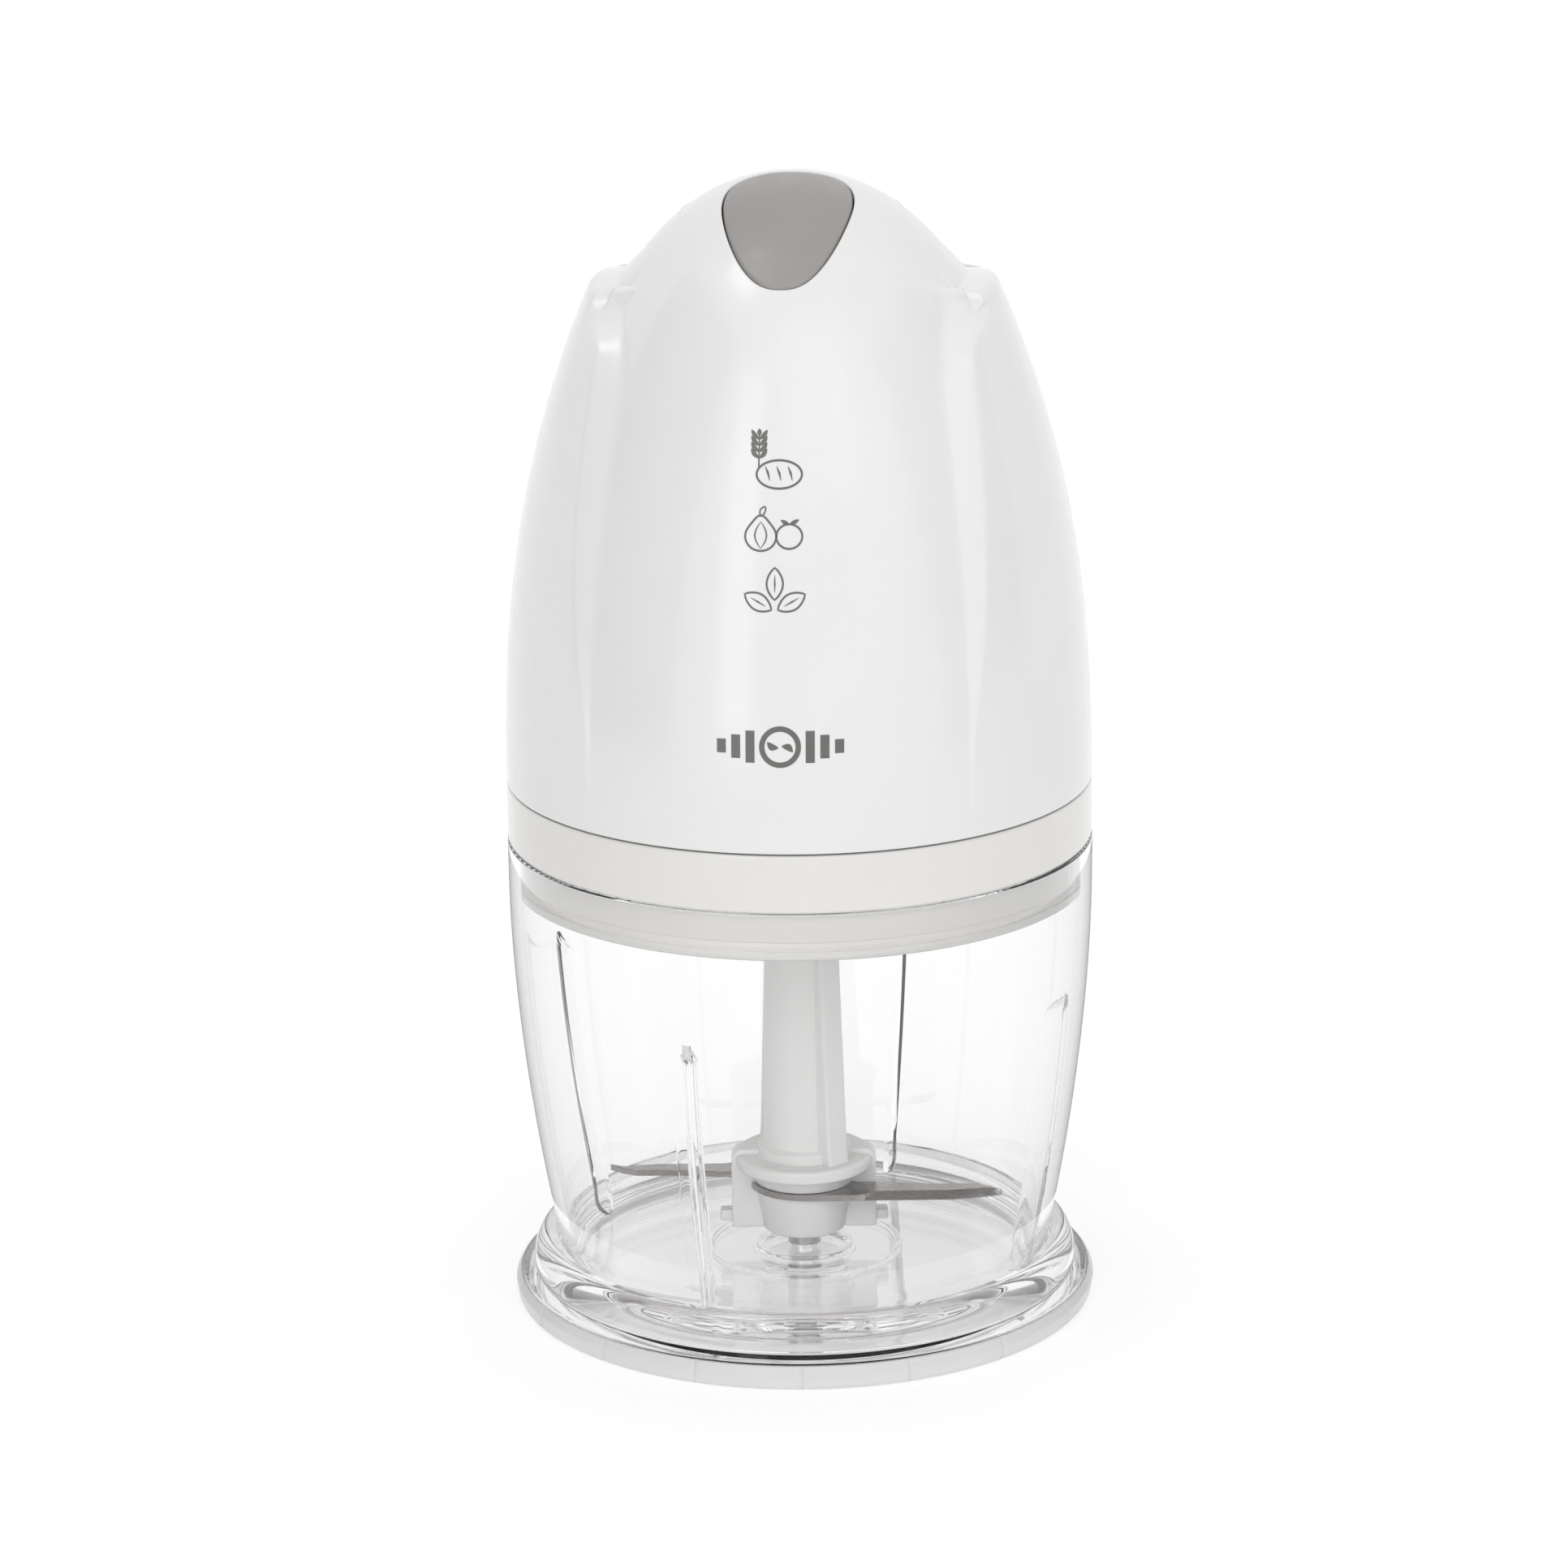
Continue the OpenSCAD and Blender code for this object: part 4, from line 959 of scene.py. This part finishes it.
def make_button():
    """Grey push button that carries on the dome, with its plunger, guide pins and spring seat."""
    skirt_low, cap, edge_round, sunk = 203.0, 1.8, 0.5, 0.15
    pin_r, pin_x, pin_y = 1.5, 8.5, -5
    seat_r, seat_low, seat_top, seat_y = 3.6, 210.75, 214, -21.5
    plunger_low, buried = 209.8, 218
    crest = float(dome_height(np.hypot(*BUTTON_MIDDLE))) - sunk
    directions = turns(240)
    direction = np.column_stack([np.sin(directions), -np.cos(directions)])
    outline = shield_points(direction, 0)
    inner = shield_points(direction, -cap)
    loops = [np.array([[*BUTTON_MIDDLE, crest]])]
    rounded_edge = shield_points(direction, -edge_round)
    for t in np.linspace(0, 1, 18)[1:]:
        plan = BUTTON_MIDDLE * (1 - t) + rounded_edge * t
        loops.append(dome_loop(plan, sunk))
    for a in np.radians([22, 45, 67, 90]):
        plan = shield_points(direction, -edge_round * (1 - math.sin(a)))
        loops.append(dome_loop(plan, sunk + edge_round * (1 - math.cos(a))))
    loops.append(np.column_stack([outline, (loops[-1][:, 2] + skirt_low) / 2]))
    loops.append(np.column_stack([outline, np.full(240, skirt_low)]))
    loops.append(np.column_stack([inner, np.full(240, skirt_low)]))
    for t in np.linspace(1, 0, 10)[:-1]:
        plan = BUTTON_MIDDLE * (1 - t) + inner * t
        loops.append(dome_loop(plan, sunk + cap))
    loops.append(np.array([[*BUTTON_MIDDLE, crest - cap]]))
    cap_piece = grid_object("button_cap", loops)
    parts = [rod("guide_pin", pin_r, BUTTON_LOW.z, buried, (x, pin_y)) for x in (-pin_x, pin_x)]
    parts.append(rod("spring_seat", seat_r, seat_low, seat_top, (0, seat_y)))
    parts.append(prism("plunger", [(5, -13.5), (7, -13.5), (7, -10.5), (5, -10.5)], plunger_low, buried))
    combine(cap_piece, parts, "UNION")
    piece(cap_piece, "button", "grey_plastic", "push_button", 40)


def make_spring():
    """Steel return spring under the button; it moves with the head and keeps its length."""
    coils, per_turn, wire_r = 6, 28, 0.35
    low, top = SPRING_LOW.z, SPRING_HIGH.z
    middle_y = (SPRING_LOW.y + SPRING_HIGH.y) / 2
    coil_r = (SPRING_HIGH.x - SPRING_LOW.x) / 2 - wire_r
    section = turns(10)
    radius, rise = coil_r + wire_r * np.cos(section), wire_r * np.sin(section)
    steps = coils * per_turn
    loops = []
    for i in range(steps + 1):
        a = 2 * math.pi * i / per_turn
        z = low + wire_r + (top - low - 2 * wire_r) * i / steps
        loops.append(np.column_stack([radius * math.cos(a), middle_y + radius * math.sin(a), z + rise]))
    ends = [loops[0].mean(axis=0)[None], loops[-1].mean(axis=0)[None]]
    spring = grid_object("return_spring", [ends[0], *loops, ends[1]])
    piece(spring, "head", "steel", "button_spring")
    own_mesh(spring)


# ---- printed marks


INK_PROUD, INK_DEEP = 0.05, 0.03
PEN_WEIGHT = 1.12


class Print:
    """Flat ink shapes laid on the front of the dome. Points are (across, height) in millimetres."""

    def __init__(self, middle, height):
        self.middle, self.height = middle, height
        self.vertices, self.faces = [], []

    def on_dome(self, x, z, proud):
        px, pz = self.middle + x, self.height + z
        radius = float(core_radius(pz)) + proud
        return (px, -math.sqrt(radius ** 2 - px ** 2), pz)

    def strip(self, left, right, closed=False):
        """A band between two rows of points, with a small thickness."""
        start, count = len(self.vertices), len(left)
        for a, b in zip(left, right):
            for point, proud in ((a, INK_PROUD), (b, INK_PROUD), (b, -INK_DEEP), (a, -INK_DEEP)):
                self.vertices.append(self.on_dome(*point, proud))
        for i in range(count if closed else count - 1):
            j = (i + 1) % count
            for k in range(4):
                m = (k + 1) % 4
                self.faces.append((start + 4 * i + k, start + 4 * i + m, start + 4 * j + m, start + 4 * j + k))
        if not closed:
            self.faces.append(tuple(start + k for k in (3, 2, 1, 0)))
            self.faces.append(tuple(start + 4 * (count - 1) + k for k in range(4)))

    def line(self, points, width, closed=False, taper=False):
        """A stroke of the pen along points."""
        path = np.array(points, float)
        ahead = np.roll(path, -1, 0) - np.roll(path, 1, 0)
        if not closed:
            ahead[0], ahead[-1] = path[1] - path[0], path[-1] - path[-2]
        side = np.column_stack([-ahead[:, 1], ahead[:, 0]]) / np.linalg.norm(ahead, axis=1)[:, None]
        half = np.full(len(path), PEN_WEIGHT * width / 2)
        if taper:
            half *= 0.25 + 0.75 * np.sin(np.pi * np.linspace(0, 1, len(path))) ** 0.7
        self.strip(path + side * half[:, None], path - side * half[:, None], closed)

    def leaf(self, base, tip, width, bend=0.0, filled=True, pen=0.28):
        """A pointed leaf or grain from base to tip, filled or in outline."""
        base, tip = np.array(base, float), np.array(tip, float)
        along = tip - base
        side = np.array([-along[1], along[0]]) / np.linalg.norm(along)
        share = np.linspace(0.0, 1.0, 15)
        spine = base + share[:, None] * along + np.outer(bend * np.sin(np.pi * share), side)
        half = width / 2 * np.sin(np.pi * share) ** 0.8 + 0.02
        left, right = spine + side * half[:, None], spine - side * half[:, None]
        if filled:
            self.strip(left, right)
        else:
            self.line(np.concatenate([left, right[::-1][1:-1]]), pen, closed=True)

    def ring(self, middle, radius_x, radius_z, pen, count=40):
        """A closed oval stroke."""
        angle = turns(count)
        points = np.column_stack([middle[0] + radius_x * np.cos(angle), middle[1] + radius_z * np.sin(angle)])
        self.line(points, pen, closed=True)

    def finish(self, name):
        obj = mesh_object(name, self.vertices, self.faces)
        smooth(obj, 30)
        obj.data.materials.append(INK)
        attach(obj, "head")


def make_grain_mark():
    """An ear of grain over a round loaf with three cuts."""
    mark = Print(-0.4, 179.6)
    for side in (-1, 1):
        for i in range(4):
            z = 0.4 + 1.1 * i
            mark.leaf((-2.6, z), (-2.6 + side * 1.5, z + 1.7), 0.8, side * -0.15)
    mark.leaf((-2.6, 4.3), (-2.6, 5.6), 0.8)
    mark.line([(-2.6, -1.2), (-2.62, 0.5), (-2.6, 2.4), (-2.6, 4.4)], 0.26)
    mark.ring((1.2, -2.4), 4.2, 2.5, 0.36)
    for x in (-0.9, 1.2, 3.3):
        mark.line([(x - 0.5, -1.0), (x, -2.1), (x + 0.35, -3.5)], 0.4, taper=True)
    mark.finish("mark_grain")


def make_bulb_mark():
    """A plain bulb with a sprout, and a small round fruit beside it."""
    mark = Print(-0.3, 167.2)
    angle = np.radians(np.arange(90, 451, 9)[:-1])
    taper = 1 + 0.45 * np.maximum(np.sin(angle), 0) ** 6
    bulb = np.column_stack([-2.2 + 2.9 * np.cos(angle), -1.0 + 2.6 * np.sin(angle) * taper])
    mark.line(bulb, 0.34, closed=True)
    for x in (-1.1, 1.1):
        t = np.linspace(0, 1, 9)
        mark.line(np.column_stack([-2.2 + x * np.sin(np.pi * t), -3.2 + 4.8 * t]), 0.26, taper=True)
    mark.leaf((-2.2, 2.6), (-1.4, 4.3), 0.9, 0.1, filled=False, pen=0.26)
    mark.ring((3.1, -1.0), 2.4, 2.2, 0.34)
    mark.leaf((3.1, 1.1), (4.9, 2.0), 0.7)
    mark.leaf((3.1, 1.1), (1.5, 1.9), 0.7)
    mark.finish("mark_bulb")


def make_nut_mark():
    """Three nut kernels, spread like a fan."""
    mark = Print(0.2, 156.4)
    for tip, base in (((-5.6, -0.6), (-0.6, -3.4)), ((5.6, -0.6), (0.6, -3.4)), ((0, 4.2), (0, -1.6))):
        mark.leaf(base, tip, 3.0, filled=False, pen=0.32)
        middle = (np.array(base) + np.array(tip)) / 2
        inner = [middle + (np.array(p) - middle) * 0.55 for p in (base, tip)]
        mark.line([inner[0], middle, inner[1]], 0.3, taper=True)
    mark.finish("mark_nut")


def make_wordless_mark():
    """A plain band of shapes: a ring with two blades in it, and bars at both sides."""
    mark = Print(1.2, 127.7)
    mark.ring((0, 0), 3.4, 3.4, 0.9, count=48)
    mark.leaf((0.3, 0.2), (2.4, -0.9), 1.2, 0.4)
    mark.leaf((-0.3, -0.2), (-2.4, 0.9), 1.2, 0.4)
    for side in (-1, 1):
        for i, length in enumerate((3.0, 2.2, 1.3)):
            x = side * (5.6 + 2.7 * i)
            mark.line([(x, -length), (x, 0), (x, length)], 1.5)
    mark.finish("mark_band")


# ---- stage


def make_camera():
    """Camera at the photograph's viewing angle."""
    azimuth, distance, height = math.radians(4.8), 1.0, 0.3903
    yaw, pitch, roll = math.radians(0.174), math.radians(-15.95), math.radians(-0.70)
    data = bpy.data.cameras.new("camera")
    data.lens = 121.25
    data.clip_start, data.clip_end = 0.05, 30
    camera = linked("camera", data)
    turn = Matrix.Rotation(azimuth + yaw, 4, "Z") @ Matrix.Rotation(math.pi / 2 + pitch, 4, "X")
    place = Vector((math.sin(azimuth) * distance, -math.cos(azimuth) * distance, height))
    camera.matrix_world = Matrix.Translation(place) @ turn @ Matrix.Rotation(roll, 4, "Z")
    bpy.context.scene.camera = camera


def stage_material(name, grey, glow=0.0):
    """Matt studio surface; glow is the light it gives off, as a lit table does."""
    n = Nodes(name)
    tint = n.blend(n.noise(3, 2), (grey * 0.995,) * 3, (grey,) * 3)
    n.principled(Base_Color=tint, Roughness=0.6, Specular_IOR_Level=0.0, Emission_Color=(1.0, 1.0, 1.0),
                 Emission_Strength=glow)
    n.material.cycles.emission_sampling = "NONE"
    return n.material


def sheet(name, width, height, z):
    """Flat rectangle."""
    x, y = width / 2, height / 2
    return mesh_object(name, [(-x, -y, z), (x, -y, z), (x, y, z), (-x, y, z)], [(0, 1, 2, 3)])


def make_floor():
    """Large pale floor, a softly lit white table."""
    size, below = 16000, -0.05
    floor = sheet("floor", size, size, below)
    floor.data.materials.append(stage_material("floor", 0.6, 0.46))


def aim(obj, place, target):
    """Puts an object at a place in metres and turns it to a target."""
    direction = Vector(target) - Vector(place)
    obj.matrix_world = Matrix.Translation(place) @ direction.to_track_quat("-Z", "Y").to_matrix().to_4x4()


def softbox(name, place, target, width, height, power):
    """White rectangular lamp; its place and size are in metres."""
    data = bpy.data.lights.new(name, "AREA")
    data.shape = "RECTANGLE"
    data.size, data.size_y = width, height
    data.energy = power
    aim(linked(name, data), place, target)


def hide_from(obj, *rays):
    """Makes an object unseen by kinds of rays."""
    for kind in rays:
        setattr(obj, "visible_" + kind, False)


def grey_card(name, place, target, width, height, grey):
    """Grey card beside the object, unseen by the camera: it shades the sides of the white head."""
    card = sheet(name, width, height, 0)
    card.data.materials.append(stage_material(name, grey))
    aim(card, place, target)
    hide_from(card, "camera", "shadow")


def edge_ring():
    """Grey ring round the bowl that only mirror-like glints see, so that the clear edges show from any side."""
    ring_r, height = 72, 82
    ring = revolve("edge_ring", [(ring_r, 1), (ring_r, height), (ring_r + 1, height), (ring_r + 1, 1)],
                   turns(96))
    ring.data.materials.append(stage_material("edge_ring", 0.32))
    hide_from(ring, "camera", "diffuse", "transmission", "shadow")


def make_lights():
    """White studio with weak soft lamps, a tall narrow box for the upright highlight and side cards."""
    world = bpy.data.worlds.new("studio")
    world.use_nodes = True
    world.node_tree.nodes["Background"].inputs["Color"].default_value = (1, 1, 1, 1)
    bpy.context.scene.world = world
    middle = (0, 0, 0.13)
    softbox("key", (0.35, -1.2, 1.1), middle, 0.9, 0.9, 1.6)
    softbox("fill", (0.9, -1.0, 0.8), middle, 0.8, 1.0, 0.6)
    softbox("tall_strip", (-0.37, -1.04, 0.5), (0, 0, 0.2), 0.26, 0.98, 1.4)
    softbox("button_glint", (-0.46, -0.33, 1.4), (0, 0, 0.2), 0.42, 0.42, 1.6)
    grey_card("card_left", (-0.62, -0.25, 0.4), (0, 0, 0.15), 700, 800, 0.2)
    grey_card("card_right", (0.8, -0.1, 0.4), (0, 0, 0.15), 700, 800, 0.5)
    edge_ring()


def set_view():
    """Plain colours, and enough light bounces for the clear parts."""
    cycles, view, bounces = bpy.context.scene.cycles, bpy.context.scene.view_settings, 40
    cycles.max_bounces = bounces
    cycles.glossy_bounces = bounces
    cycles.transmission_bounces = bounces
    cycles.transparent_max_bounces = bounces // 2
    cycles.sample_clamp_indirect = 2.0
    cycles.blur_glossy = 0.3
    cycles.caustics_reflective = False
    view.view_transform = "Standard"
    view.look = "None"


# ---- build

finish_cad_nodes()
make_camera()
make_base()
make_grip_ring()
make_bowl()
make_hub()
make_blades()
make_lid()
make_housing()
make_button()
make_spring()
make_grain_mark()
make_bulb_mark()
make_nut_mark()
make_wordless_mark()
make_floor()
make_lights()
set_view()
